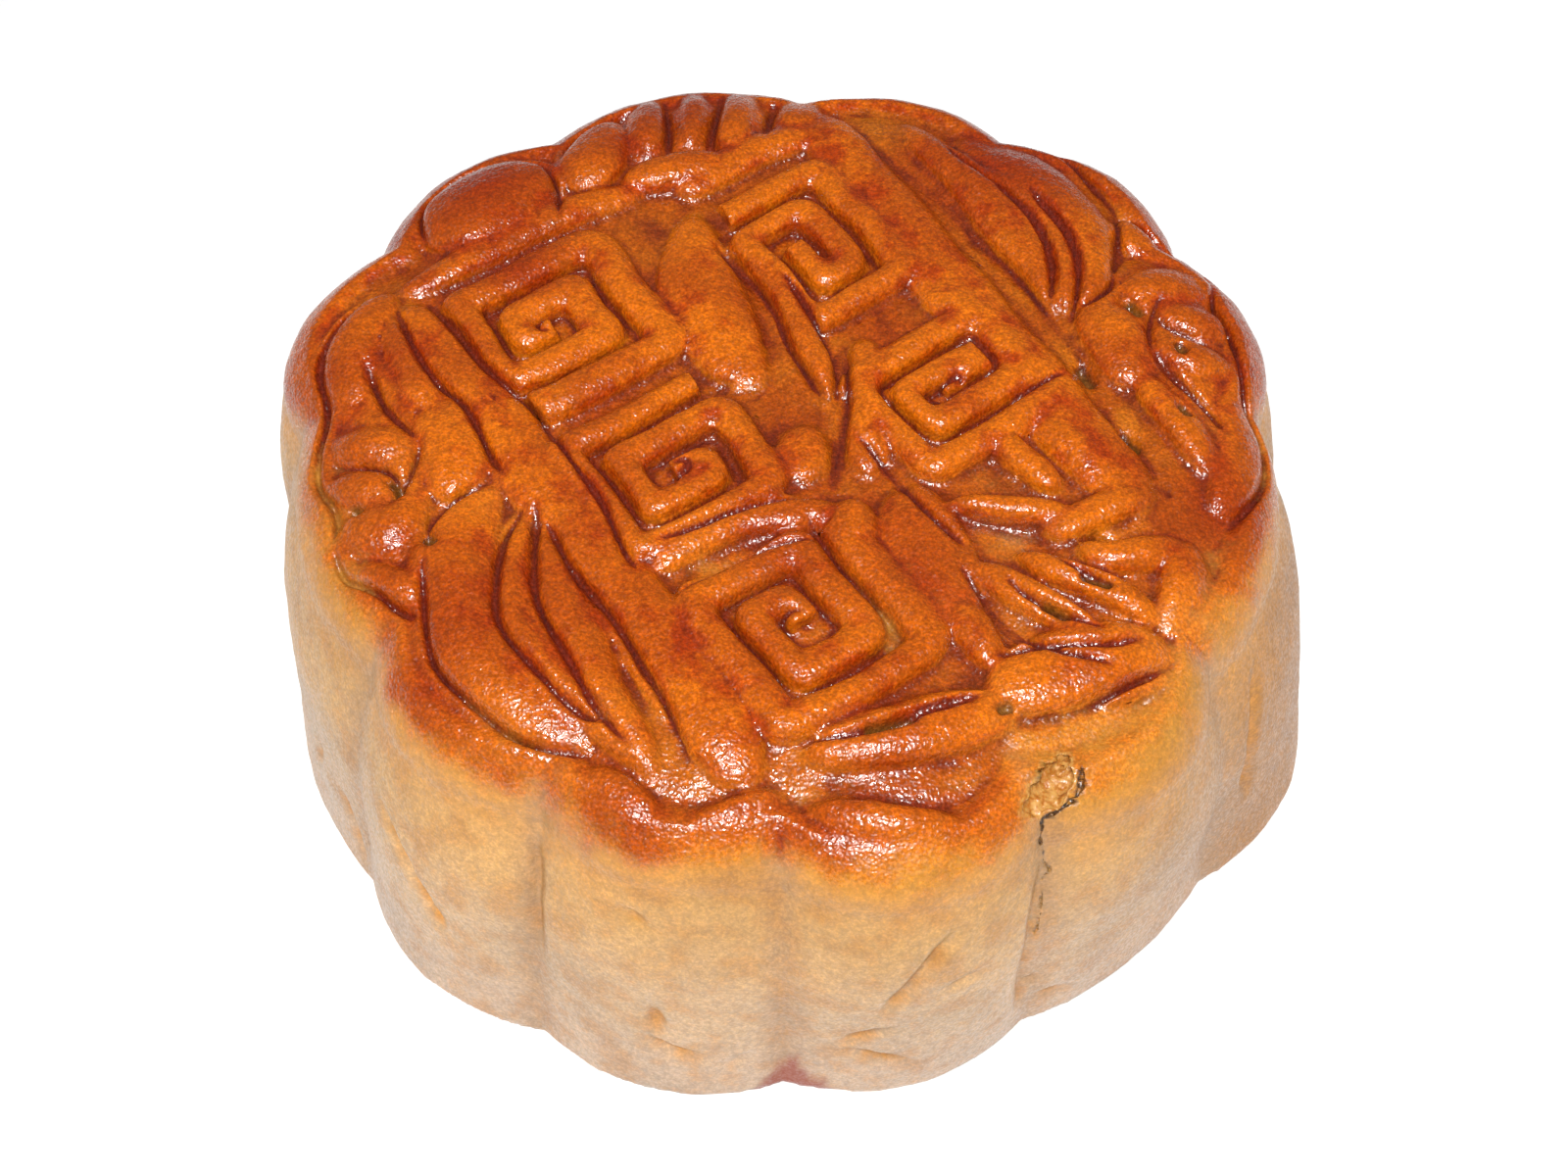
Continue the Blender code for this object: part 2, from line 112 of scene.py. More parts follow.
# %% Outline, wall and crown
def lobe_ratio(angle):
    """The mould's outline at an angle in degrees, as a share of the radius at a lobe's crest."""
    turned = (np.asarray(angle, float) - FIRST_GROOVE) % 360 + FIRST_GROOVE
    lobe = np.clip(np.searchsorted(GROOVES, turned, side="right") - 1, 0, len(LOBE_SPANS) - 1)
    half = np.radians(np.array(LOBE_SPANS)[lobe]) / 2
    off = np.radians(turned - GROOVES[lobe]) - half
    centre = (GROOVE_RATIO**2 - 1) / (2 * (GROOVE_RATIO * np.cos(half) - 1))
    return centre * np.cos(off) + np.sqrt((1 - centre) ** 2 - (centre * np.sin(off)) ** 2)


def between_crests(angle, shares):
    """One share for each lobe, blended smoothly from crest to crest."""
    turned = (np.asarray(angle, float) - CRESTS[0]) % 360 + CRESTS[0]
    crests = np.append(CRESTS, CRESTS[0] + 360)
    shares = np.append(shares, shares[0])
    lobe = np.clip(np.searchsorted(crests, turned, side="right") - 1, 0, len(LOBE_SPANS) - 1)
    step = (1 - np.cos(math.pi * (turned - crests[lobe]) / (crests[lobe + 1] - crests[lobe]))) / 2
    return shares[lobe] * (1 - step) + shares[lobe + 1] * step


def wall_ratio(z):
    """The wall's radius at a height over the belly's, before its edges are rounded."""
    above = np.clip((z - BELLY_HEIGHT) / (HEIGHT - BELLY_HEIGHT), 0, 1)
    below = np.clip(1 - z / BELLY_HEIGHT, 0, 1)
    return 1 + (TOP_TAPER - 1) * above**2 + (BASE_FLARE - 1) * below**2


SHOULDER_OUT = float(wall_ratio(HEIGHT - SHOULDER))
SHOULDER_IN = float(wall_ratio(HEIGHT)) - SHOULDER / BELLY_RADIUS


def outline_share(x, y):
    """How far out a point of the top lies: 0 at the middle, 1 on the mould's outline."""
    angle = np.degrees(np.arctan2(y, x))
    outline = lobe_ratio(angle) ** TOP_LOBING * between_crests(angle, LOBE_REACH)
    return np.hypot(x, y) / (BELLY_RADIUS * outline)


def crown(x, y):
    """The height of the top's outer skin over a point, rounded off towards the wall."""
    out = (outline_share(x, y) - SHOULDER_IN) / (SHOULDER_OUT - SHOULDER_IN)
    return HEIGHT - SHOULDER * (1 - np.sqrt(1 - np.clip(out, 0, 1) ** 2))


print("shoulder from", round(SHOULDER_IN, 3), "to", round(SHOULDER_OUT, 3), "of the belly's radius")

# %% [markdown]
# ## Small helpers
#
# Operators act on whatever is selected, and the loaded model is. So each piece starts with
# nothing selected. Points are moved in bulk by reading a mesh's coordinates into an array.


# %% Selecting, applying and moving points
def only(piece):
    """Selects this piece alone and makes it active."""
    bpy.ops.object.select_all(action="DESELECT")
    piece.select_set(True)
    bpy.context.view_layer.objects.active = piece


def apply(piece, kind, **settings):
    """Adds one modifier with these settings and applies it."""
    only(piece)
    modifier = piece.modifiers.new(kind.lower(), kind)
    for name, value in settings.items():
        setattr(modifier, name, value)
    bpy.ops.object.modifier_apply(modifier=modifier.name)


def points_of(piece):
    """The piece's points, one row of x, y, z for each."""
    flat = np.empty(len(piece.data.vertices) * 3, np.float32)
    piece.data.vertices.foreach_get("co", flat)
    return flat.reshape(-1, 3).astype(float)


def move_points(piece, points):
    """Puts the piece's points where the rows say."""
    piece.data.vertices.foreach_set("co", points.astype(np.float32).ravel())
    piece.data.update()


# %% [markdown]
# ## The blank
#
# A baker starts from a flat round of dough that fills the mould. A circle is the right
# primitive: it is extruded up the wall ring by ring, each ring scaled to the profile, then in
# over the shoulder and down into the sunk field where the ornament will stand.

# %% Extrude the round blank
AROUND = 360
BASE_STEPS = 4
WALL_STEPS = 24
SHOULDER_STEPS = 16
FIELD_RINGS = (0.8, 0.75, 0.7, 0.6, 0.5, 0.4, 0.3, 0.2)


def blank_profile():
    """Radius and height of every ring, from the base up the wall and in over the top."""
    rings = []
    base = BELLY_RADIUS * float(wall_ratio(BASE_ROUNDING))
    for turn in np.linspace(0, math.pi / 2, BASE_STEPS + 1)[:-1]:
        rings.append((base - BASE_ROUNDING * (1 - math.sin(turn)), BASE_ROUNDING * (1 - math.cos(turn))))
    for z in np.linspace(BASE_ROUNDING, HEIGHT - SHOULDER, WALL_STEPS):
        rings.append((BELLY_RADIUS * float(wall_ratio(z)), z))
    for turn in np.linspace(math.pi / 2, 0, SHOULDER_STEPS + 1)[1:]:
        ratio = SHOULDER_IN + (SHOULDER_OUT - SHOULDER_IN) * math.sin(turn)
        if ratio > RIM_CREST:
            rings.append((BELLY_RADIUS * ratio, HEIGHT - SHOULDER * (1 - math.cos(turn))))
    for ratio in (RIM_CREST, FIELD_EDGE, *FIELD_RINGS):
        rings.append((BELLY_RADIUS * ratio, HEIGHT - (RELIEF if ratio <= FIELD_EDGE else 0)))
    return rings


rings = blank_profile()
bpy.ops.object.select_all(action="DESELECT")
bpy.ops.mesh.primitive_circle_add(vertices=AROUND, radius=rings[0][0], fill_type="NGON")
cake = bpy.context.object
cake.name = "baked_crust"
bpy.ops.object.mode_set(mode="EDIT")
for (radius, z), (next_radius, next_z) in zip(rings, rings[1:]):
    bpy.ops.mesh.extrude_region_move(TRANSFORM_OT_translate={"value": (0, 0, next_z - z)})
    scale = next_radius / radius
    bpy.ops.transform.resize(value=(scale, scale, 1), center_override=(0, 0, next_z))
bpy.ops.object.mode_set(mode="OBJECT")
print("blank:", len(rings), "rings of", AROUND, "points")

# %% [markdown]
# ## Pressing the lobes
#
# The round blank has the same number of steps for every lobe. Each point keeps its share of its
# lobe and moves out or in to the mould's outline. No operator knows this mould, so the points
# are moved in code. The edge of the sunk field is scalloped deeper than the wall.

# %% Press the blank into the mould
x, y, z = points_of(cake).T
radius = np.hypot(x, y)
lobe, share = np.divmod(np.degrees(np.arctan2(y, x)) % 360 * len(LOBE_SPANS) / 360, 1)
lobe = lobe.astype(int) % len(LOBE_SPANS)
angle = GROOVES[lobe] + share * np.array(LOBE_SPANS)[lobe]
on_top = z > HEIGHT - SHOULDER + 1e-6
outward = (radius / BELLY_RADIUS - FIELD_EDGE) / (SHOULDER_OUT - FIELD_EDGE)
up_wall = np.clip((z / HEIGHT - LOBING_FROM) / LOBING_OVER, 0, 1) ** 2
lobing = 1 + (TOP_LOBING - 1) * up_wall
lobing = np.where(on_top, FIELD_LOBING - (FIELD_LOBING - TOP_LOBING) * np.clip(outward, 0, 1), lobing)
spread = 1 + (between_crests(angle, LOBE_SPREAD) - 1) * np.where(on_top, 0, 1 - z / (HEIGHT - SHOULDER))
radius = radius * lobe_ratio(angle) ** lobing * between_crests(angle, LOBE_REACH) * spread
x, y = radius * np.cos(np.radians(angle)), radius * np.sin(np.radians(angle))
sunk = np.where(outward < 1e-4, RELIEF, 0)
move_points(cake, np.stack([x, y, np.where(on_top, crown(x, y) - sunk, z)], 1))
print("lobed blank:", [round(side * 1000, 1) for side in cake.dimensions], "mm")

# %% [markdown]
# ## Ropes of dough
#
# Every raised line and petal of the ornament is a rope that swells in its middle. By hand one
# would drag a single point from bend to bend, turn that chain of edges into a curve, and give
# the curve a round bevel with a radius of its own at each point. That is what this does.


# %% Roll one rope
def roll(name, spine, radii):
    """A closed rope of dough along the spine, as a mesh with its place in its points."""
    bpy.ops.object.select_all(action="DESELECT")
    bpy.ops.mesh.primitive_plane_add(size=MM, location=spine[0])
    bpy.context.object.name = name
    bpy.ops.object.mode_set(mode="EDIT")
    bpy.ops.mesh.merge(type="CENTER")
    for here, there in zip(spine, spine[1:]):
        step = tuple(b - a for a, b in zip(here, there))
        bpy.ops.mesh.extrude_vertices_move(TRANSFORM_OT_translate={"value": step})
    bpy.ops.object.mode_set(mode="OBJECT")
    bpy.ops.object.convert(target="CURVE")
    curve = bpy.context.object.data
    curve.bevel_depth = 1
    curve.bevel_resolution = 6
    curve.use_fill_caps = True
    chain = curve.splines[0].points
    forwards = chain[0].co.xyz.length < chain[-1].co.xyz.length
    for point, swell in zip(chain, radii if forwards else radii[::-1]):
        point.radius = swell
    bpy.ops.object.convert(target="MESH")
    bpy.ops.object.transform_apply(location=True)
    return bpy.context.object


# %% [markdown]
# ## Laying a rope in the field
#
# A rope is modelled round at height zero. It is then brought to the height of the relief,
# half sunk in the floor of the field, with a fuller top than a circle has. It follows the crown
# of the cake, so that ornament near the rim bends down with the shoulder. A carved mould wears
# and soft dough drags, so no line stays straight: two slow waves pull the whole pattern about.

# %% Lay ropes on the crown
SINK = 0.16 * MM
FULLNESS = 0.72  # below 1 the top of a rope is fuller than a circle
NARROWEST = 0.2  # the ends of a petal, over its half width
PATTERN_SHIFT = (0.6 * MM, 1.4 * MM)
DRAG_WAVES = ((0.34, 23.0, 31.0, 0.7, 1.9), (0.17, -17.0, 12.0, 2.1, 0.4))
SPINE_STEPS = 22


def dragged(x, y):
    """Where a point of the mould's pattern lies on the cake, in plan."""
    across, along = PATTERN_SHIFT
    for reach, wide, deep, first, second in DRAG_WAVES:
        wave = 2 * math.pi * (x / (wide * MM) + y / (deep * MM))
        across = across + reach * MM * np.sin(wave + first)
        along = along + reach * MM * np.sin(wave + second)
    return x + across, y + along


def lay(rope, half_width, rise):
    """Brings a rope that was rolled at height zero to its place in the relief."""
    x, y, z = points_of(rope).T
    x, y = dragged(x, y)
    share = np.sign(z) * np.abs(z / half_width) ** FULLNESS
    z = crown(x, y) - RELIEF - SINK + share * (RELIEF * rise + SINK)
    move_points(rope, np.stack([x, y, z], 1))


def petal(name, start, end, bow, half_width, blunt, rise):
    """A petal from start to end in millimetres, bowed to its left; blunt 1 is pointed, 6 a bar."""
    along = np.subtract(end, start)
    side = np.array([-along[1], along[0]]) / np.hypot(*along)
    shares = (1 - np.cos(np.linspace(0, math.pi, SPINE_STEPS + 1))) / 2
    reach = 2 * shares - 1
    plan = np.array(start) + along * shares[:, None] + side * (bow * (1 - reach**2))[:, None]
    radii = half_width * np.maximum(NARROWEST, np.sqrt(1 - np.abs(reach) ** blunt))
    rope = roll(name, [(px * MM, py * MM, 0) for px, py in plan], [r * MM for r in radii])
    lay(rope, half_width * MM, rise)
    return rope


# %% [markdown]
# ## Square scrolls
#
# The blocks in the banner are the old thunder pattern: one line wound inwards in a rectangle. A
# loop writes its corners. Each block is turned with the banner, which slants across the cake. The
# strokes are so full that they nearly touch, and a knife groove follows between their turns.

# %% Wind one scroll
BANNER_TURN = 32.0  # degrees
PITCH_OF_STROKE = 1.05
SMALLEST_TURN = 0.3  # a turn or a last stroke under these shares of the pitch isn't begun
SHORTEST_STROKE = 0.2


def scroll_corners(width, length, stroke):
    """Corners in millimetres of a line wound inwards, from the low left one."""
    pitch = stroke * PITCH_OF_STROKE
    right, top = (width - stroke) / 2, (length - stroke) / 2
    left, bottom = -right, -top
    corners = [(left, bottom)]
    while min(right - left, top - bottom) > SMALLEST_TURN * pitch:
        corners += [(right, bottom), (right, top), (left, top)]
        bottom += pitch
        corners.append((left, bottom))
        left += pitch
        right -= pitch
        top -= pitch
    if right > corners[-1][0] + SHORTEST_STROKE * pitch:
        corners.append((right, bottom))
    return np.array(corners)


# %% [markdown]
# A stroke pressed in dough has no sharp corner, so each corner is turned over a small arc. The
# knife's groove between the strokes is the same line, moved in by half a pitch.

# %% Round the scroll's corners and place it
CORNER_CUT = 0.9
CUT_AT_MOST = 0.45
SCROLL_STEP = 1.4


def softened(corners):
    """The line in short steps, with each corner turned over an arc."""
    line = [corners[0]]
    for before, corner, after in zip(corners, corners[1:], corners[2:]):
        sides = [before - corner, after - corner]
        cuts = [side * min(CUT_AT_MOST, CORNER_CUT / np.hypot(*side)) for side in sides]
        for share in (0, 0.25, 0.5, 0.75, 1):
            line.append(corner + (1 - share) ** 2 * cuts[0] + share**2 * cuts[1])
    line.append(corners[-1])
    stepped = []
    for here, there in zip(line, line[1:]):
        count = max(1, round(np.hypot(*(there - here)) / SCROLL_STEP))
        stepped += [here + (there - here) * step / count for step in range(count)]
    return np.array(stepped + [line[-1]])


def gap_corners(width, length, stroke):
    """The line that runs between the scroll's turns, half a pitch inside them."""
    half = stroke * PITCH_OF_STROKE / 2
    corners = scroll_corners(width, length, stroke)
    gap = np.sign(corners) * np.maximum(np.abs(corners) - half, 0)
    gap[0, 0] = corners[0, 0] - half
    moved = np.hypot(*np.diff(gap, axis=0).T) > 0.01
    return np.concatenate([gap[:1], gap[1:][moved]])


def turned_with_banner(corners, centre, quarter, hand):
    """Corners of a block moved to their place on the cake, in metres."""
    turn = math.radians(BANNER_TURN + 90 * quarter)
    across, along = corners[:, 0] * hand, corners[:, 1]
    x = centre[0] + across * math.cos(turn) - along * math.sin(turn)
    y = centre[1] + across * math.sin(turn) + along * math.cos(turn)
    return np.stack([x, y], 1) * MM


def square_scroll(name, centre, width, length, stroke, quarter, hand):
    """One block of the banner, turned by quarters, and mirrored where its hand is -1."""
    plan = turned_with_banner(softened(scroll_corners(width, length, stroke)), centre, quarter, hand)
    half = stroke / 2 * MM
    rope = roll(name, [(x, y, 0) for x, y in plan.tolist()], [half] * len(plan))
    lay(rope, half, 1.0)
    return rope


# %% [markdown]
# ## The ornament's plan
#
# The plan is a list: each petal's start, end, bow, half width and bluntness, in millimetres,
# and how high it rises. Low wide pads swell the ground between. A scroll has its middle, width,
# length, stroke, quarter turns and hand.

# %% Plan the leaves, blossoms, buds and scrolls
BLOSSOM = (
    ("blossom_pad", (-31.2, 5.0), (-27.4, -15.4), 0.8, 3.6, 3, 0.55),
    ("blossom_a", (-31.6, -1.6), (-29.6, 10.6), 1.6, 2.7, 2.5, 1.05),
    ("blossom_b", (-29.2, 7.4), (-24.6, -2.0), -0.3, 1.6, 2.5, 1.0),
    ("blossom_c", (-25.0, -0.4), (-22.6, -9.2), 0.3, 2.5, 2.5, 1.0),
    ("blossom_d", (-33.0, -3.2), (-26.0, -5.2), 0.3, 1.8, 2.2, 0.95),
    ("blossom_e", (-33.2, -6.9), (-27.2, -7.7), -0.3, 1.5, 2.2, 0.9),
    ("blossom_f", (-32.2, -11.4), (-24.8, -10.0), -0.4, 2.1, 2.2, 0.95),
    ("blossom_g", (-30.8, -14.0), (-24.4, -17.2), -0.6, 2.1, 2.2, 1.0),
)
SINGLE = (
    ("border_left", (-28.4, 9.0), (-2.3, -32.6), 0.3, 2.5, 8, 0.85),
    ("leaf_left_outer", (-20.2, -7.6), (-12.6, -28.8), -6.4, 3.4, 2.4, 1.0),
    ("leaf_left_middle", (-18.2, -10.4), (-11.0, -28.2), -3.4, 1.6, 2, 1.0),
    ("leaf_left_inner", (-17.0, -11.0), (-8.6, -31.0), -1.4, 2.1, 2.2, 1.0),
    ("border_right", (24.6, -10.8), (0.8, 30.8), 0.3, 2.6, 8, 0.85),
    ("leaf_right_inner", (19.2, 8.0), (8.8, 29.4), -1.3, 2.3, 2.2, 1.0),
    ("leaf_right_middle", (20.2, 8.0), (15.0, 24.0), -1.6, 1.4, 2.2, 1.05),
    ("leaf_right_outer", (22.0, 6.4), (13.8, 28.2), -3.4, 3.1, 2.4, 1.1),
    ("end_border", (-29.0, 10.6), (-11.0, 21.2), 0.6, 1.8, 3.5, 0.85),
    ("end_bend", (-8.6, 20.8), (3.4, 27.6), 0.6, 1.7, 6, 0.85),
    ("round_petal", (-28.4, 16.6), (-17.4, 21.4), 1.2, 5.2, 2.2, 1.5),
    ("fan_pad", (-16.0, 26.4), (3.0, 30.4), 0.8, 3.4, 4, 0.5),
    ("fan_a", (-15.6, 20.8), (-14.6, 31.2), 0.5, 2.9, 2.5, 1.2),
    ("fan_b", (-11.2, 25.2), (-10.8, 34.0), 0.0, 1.9, 3, 1.1),
    ("fan_c", (-7.2, 26.0), (-7.2, 34.6), 0.0, 1.3, 3, 1.0),
    ("fan_d", (-3.8, 25.0), (-3.8, 34.4), 0.0, 1.8, 3, 1.1),
    ("fan_e", (0.4, 26.8), (0.8, 33.8), -0.3, 1.8, 3, 1.1),
    ("fan_bar", (-12.8, 21.6), (-4.0, 23.8), 0.6, 2.0, 3, 1.2),
    ("rim_petal", (-13.4, -30.6), (-7.6, -35.4), -0.6, 2.2, 2.5, 1.1),
    ("rim_lip", (-7.4, -34.8), (-0.6, -33.2), -0.7, 1.5, 2.5, 1.0),
    ("front_petal", (0.8, -31.0), (14.6, -27.0), 0.7, 2.4, 2.5, 1.1),
    ("front_lip", (0.8, -34.4), (11.0, -34.4), -0.9, 1.7, 2.4, 1.2),
    ("side_petal", (13.0, -25.9), (25.8, -21.8), 0.3, 3.1, 2.5, 1.1),
    ("feather_a", (10.6, -9.9), (19.6, -10.6), -0.3, 1.3, 2.5, 1.15),
    ("feather_b", (14.6, -14.4), (24.8, -19.6), 0.4, 1.45, 2.5, 1.15),
    ("feather_c", (11.8, -15.6), (20.2, -22.2), 0.4, 1.45, 2.5, 1.1),
    ("feather_d", (16.8, -12.6), (25.4, -9.2), 0.3, 1.3, 2.5, 0.95),
    ("feather_e", (19.4, -13.2), (27.2, -13.6), -0.9, 1.5, 2.5, 1.05),
    ("feather_f", (27.0, -13.4), (24.6, -20.4), 0.9, 1.8, 2.5, 1.1),
    ("bud_a", (-7.4, 18.6), (-2.2, 0.6), -1.6, 3.0, 2.5, 1.0),
    ("bud_b", (-3.6, 15.4), (2.2, -0.8), 0.9, 1.7, 2, 1.0),
    ("bud_c", (5.4, 5.6), (5.0, -7.8), 0.2, 1.6, 4, 0.9),
    ("bud_d", (0.2, -2.8), (1.6, -8.2), 0.2, 1.9, 3, 0.7),
    ("hood", (-9.6, -16.0), (4.2, -11.4), 2.6, 1.6, 3, 1.0),
    ("bud_e", (3.4, -10.0), (4.6, -14.6), 0.4, 1.6, 3, 1.1),
    ("mound", (7.4, -8.4), (10.4, -21.6), 0.6, 2.9, 3, 0.75),
    ("bud_f", (10.6, -18.4), (13.6, -24.2), 0.3, 1.3, 2.5, 1.0),
    ("stroke_a", (14.4, -3.6), (18.8, -8.8), 0.2, 1.35, 3, 1.0),
    ("stroke_b", (17.8, -2.0), (22.4, -8.6), 0.3, 1.45, 3, 1.0),
    ("stroke_c", (10.0, 9.4), (15.4, 5.0), 0.8, 1.5, 3, 1.0),
)
SCROLLS = (
    ((-16.6, 6.9), 14.8, 14.8, 2.95, 0, 1),
    ((-8.5, -6.5), 14.6, 13.6, 2.85, 2, 1),
    ((1.2, -20.0), 14.8, 15.4, 2.95, 1, -1),
    ((2.1, 15.2), 11.6, 15.6, 2.85, 2, -1),
    ((11.6, 0.4), 14.4, 12.4, 2.75, 0, -1),
)

print("petals:", 2 * len(BLOSSOM) + len(SINGLE), "and scrolls:", len(SCROLLS))

# %% [markdown]
# A carver cuts one motif and repeats it. So the blossom stands twice, the second time turned half
# round: the signs of its places change, and nothing else.

# %% Lay the ornament
ropes = [petal(*row) for row in BLOSSOM + SINGLE]
for name, start, end, *form in BLOSSOM:
    ropes.append(petal(name + "_turned", (-start[0], -start[1]), (-end[0], -end[1]), *form))
for index, row in enumerate(SCROLLS):
    ropes.append(square_scroll("scroll_%d" % index, *row))
print("ornament:", len(ropes), "ropes")

# %% [markdown]
# ## One skin
#
# The blank and the ropes overlap, but a real cake has one skin. A voxel remesh wraps all of
# them in a single closed surface, as thin plastic film would. Its cells are fine enough for the
# grooves. Smoothing then melts the seams, as baking does.

# %% Wrap everything in one skin and soften it
VOXEL = 0.26 * MM
MELT_ROUNDS = 3

bpy.ops.object.select_all(action="DESELECT")
for piece in ropes + [cake]:
    piece.select_set(True)
bpy.context.view_layer.objects.active = cake
bpy.ops.object.join()
apply(cake, "REMESH", mode="VOXEL", voxel_size=VOXEL)
apply(cake, "SMOOTH", factor=0.5, iterations=MELT_ROUNDS)
print("one skin:", len(cake.data.vertices), "points")

# %% [markdown]
# ## Veins
#
# A carver cuts the thin veins of leaf and petal with the corner of a knife, and they come out of
# the mould as fine creases. In sculpting one would draw them with the crease brush. Here each
# vein is a short list of plan points, and every point of the skin near it is pressed down. The
# pits are short, wide and deep: corners of the mould where the dough didn't fill and egg gathers.

# %% Draw the veins and pits
VEINS_TWICE = (
    ((-30.6, 3.2), (-29.2, 0.4), (-27.4, -2), (-26, -4)),
    ((-30.2, 12), (-33, 7.8), (-33.9, 3.6), (-32.9, 0), (-33.4, -3.4), (-33, -7), (-31.6, -9.2),
     (-32, -12)),
    ((-32, -12), (-30.8, -14.8), (-28.4, -16.2), (-26.4, -18.4), (-25, -18.6)),
    ((-24.4, -13.2), (-24.2, -10.6), (-22, -8.6), (-20.6, -8)),
    ((-31.4, -5.2), (-29.4, -6), (-27.4, -6.6), (-26.4, -8.4)),
    ((-27.6, -9.4), (-26.8, -8.2), (-26, -6.4), (-25.6, -4)),
)
VEINS = (
    ((-24.6, -14.2), (-25, -18), (-24.1, -22), (-22, -25.2), (-19.3, -27.4), (-16, -28.7),
     (-12.9, -29.4)),
    ((-18.2, -10.4), (-19.6, -13.5), (-19.6, -17.5), (-18.4, -21.2), (-16, -24.4), (-13, -26.8),
     (-10.8, -28)),
    ((-17.5, -10.4), (-17.4, -14), (-16.6, -18), (-15, -22), (-12.8, -25.6), (-10.2, -29.4)),
    ((-28.8, 8.2), (-27.6, 4.2), (-25, 0.8), (-23.2, -1), (-21.6, -5), (-19.6, -7.6)),
    ((-17, -11.6), (-15.4, -14.4), (-13, -18.2), (-10.8, -21.6), (-8.4, -25.4), (-7.2, -28.8),
     (-6.8, -31)),
    ((3.4, 30.4), (5.8, 27.4), (9.6, 22.2), (13, 17), (16.2, 12), (18.6, 8.4), (20.2, 4.6),
     (22.2, -0.4)),
    ((22.6, -1.6), (24.2, -5), (26.2, -9)),
    ((12.4, 26.6), (14.2, 22.8), (16.6, 20.8), (18.4, 18.4), (19.2, 15), (19.2, 11.6), (18.9, 8.8)),
    ((18.6, 21), (20.6, 17.2), (21.4, 13.6), (21.2, 10), (20.6, 7)),
    ((17.6, 29.2), (21.6, 26.2), (24.8, 21.6), (25.4, 17.4), (24.8, 13.6), (23.8, 11)),
    ((4.6, -4.6), (6.8, -7.8), (9.4, -11.2), (11.6, -14.4)),
    ((12.2, -11.6), (14.4, -12.4), (17.2, -12.8)),
    ((13.8, -16.8), (15.8, -18.8), (18.2, -20.4), (20.2, -21)),
    ((17.4, -14.6), (19.4, -15.8), (22, -17.4)),
    ((20, -12.4), (22.4, -13), (24.8, -12.2)),
    ((13.4, -23.4), (16.4, -22.8), (20, -22.6), (23, -21.2)),
    ((-26.8, 9.2), (-23.4, 4.4), (-20, 0.2), (-17, -3.4), (-14.6, -8), (-12.2, -12.6), (-10.4, -16.4)),
    ((-5.8, 15.4), (-3.2, 11.6), (-1.2, 8), (0, 4), (1.4, 0.4), (2.4, -0.6)),
    ((-0.8, 12), (1.6, 8), (3.2, 3.6), (2.8, -0.2)),
    ((3.8, 5), (3.7, 0), (3.6, -4), (3.0, -8.6)),
    ((-9.4, -13.6), (-6.4, -12), (-3, -10.4), (1.4, -9.6), (4, -9.4)),
    ((-8.2, -18.2), (-5.6, -15.8), (-2, -13.6), (2.2, -12.9)),
    ((0.4, -29.6), (4, -29.2), (8, -27.4), (12.6, -26.2)),
    ((0.8, -32.6), (4, -32.6), (7.6, -33.2), (11.4, -32.2)),
    ((11, -16), (13.4, -19.4), (16, -23), (20.4, -24)),
    ((-27.6, 16), (-28.2, 19), (-26.6, 22.6), (-23, 24.6), (-19.4, 24), (-17.6, 20.8), (-17, 17.6)),
    ((-18, 24), (-17.2, 27.2), (-14.4, 29.8), (-11.4, 31.6)),
    ((-9.2, 25), (-9.2, 29), (-9.4, 32)),
    ((-5.6, 25.4), (-5.4, 29), (-5.2, 32.4)),
    ((-1.4, 26.4), (-1.2, 29), (-1.2, 32)),
    ((15, -27.8), (18, -27.4), (21, -25.4), (25, -22.6)),
)
PITS = (
    ((-27.6, -7.2), (-26.6, -8.6)), ((-24.6, -12.0), (-23.6, -13.2)), ((25.0, 9.2), (25.8, 7.4)),
    ((28.0, 5.2), (28.6, 3.8)), ((27.4, -1.4), (28.0, -2.8)), ((20.6, 2.8), (21.6, 0.8)),
    ((23.4, -3.8), (24.6, -5.6)), ((20.4, -12.4), (22.2, -13.0)), ((19.2, -16.4), (21.6, -17.6)),
    ((16.4, -19.2), (18.2, -20.6)), ((13.2, -27.2), (14.4, -26.8)), ((4.4, -28.8), (8.2, -27.8)),
    ((-30.6, -9.0), (-29.6, -9.8)),
)
print("veins:", len(VEINS) + 2 * len(VEINS_TWICE), "and pits:", len(PITS))

# %% [markdown]
# A knife sinks in and comes out again, so a line presses less near its ends. Each point looks for
# the nearest line, and how deep it goes falls off with the distance, like a bell.

# %% Press along a line
TAPER = 2.4 * MM
END_PRESS = 0.15
BELL_REACH = 3  # past so many widths a line presses nothing


def rounded(line):
    """A line with its corners cut twice, so that it runs in a curve."""
    for _ in range(2):
        first, second = line[:-1], line[1:]
        cut = np.stack([0.75 * first + 0.25 * second, 0.25 * first + 0.75 * second], 1).reshape(-1, 2)
        line = np.concatenate([line[:1], cut, line[-1:]])
    return line


def press_of(plan, lines, width, taper):
    """How far in each plan point is pressed by the nearest line, 0 to 1, less near its ends."""
    press = np.zeros(len(plan))
    for line in lines:
        steps = np.hypot(*np.diff(line, axis=0).T)
        run = np.concatenate([[0], np.cumsum(steps)])
        for here, there, start, step in zip(line, line[1:], run, steps):
            near = np.flatnonzero(np.abs(plan - (here + there) / 2).max(1) < step / 2 + BELL_REACH * width)
            away = plan[near] - here
            share = np.clip(away @ (there - here) / step**2, 0, 1)
            gap = np.hypot(*(away - share[:, None] * (there - here)).T)
            along = start + share * step
            ends = np.clip(np.minimum(along, run[-1] - along) / taper + END_PRESS, 0, 1)
            press[near] = np.maximum(press[near], ends * np.exp(-((gap / width) ** 2)))
    return press


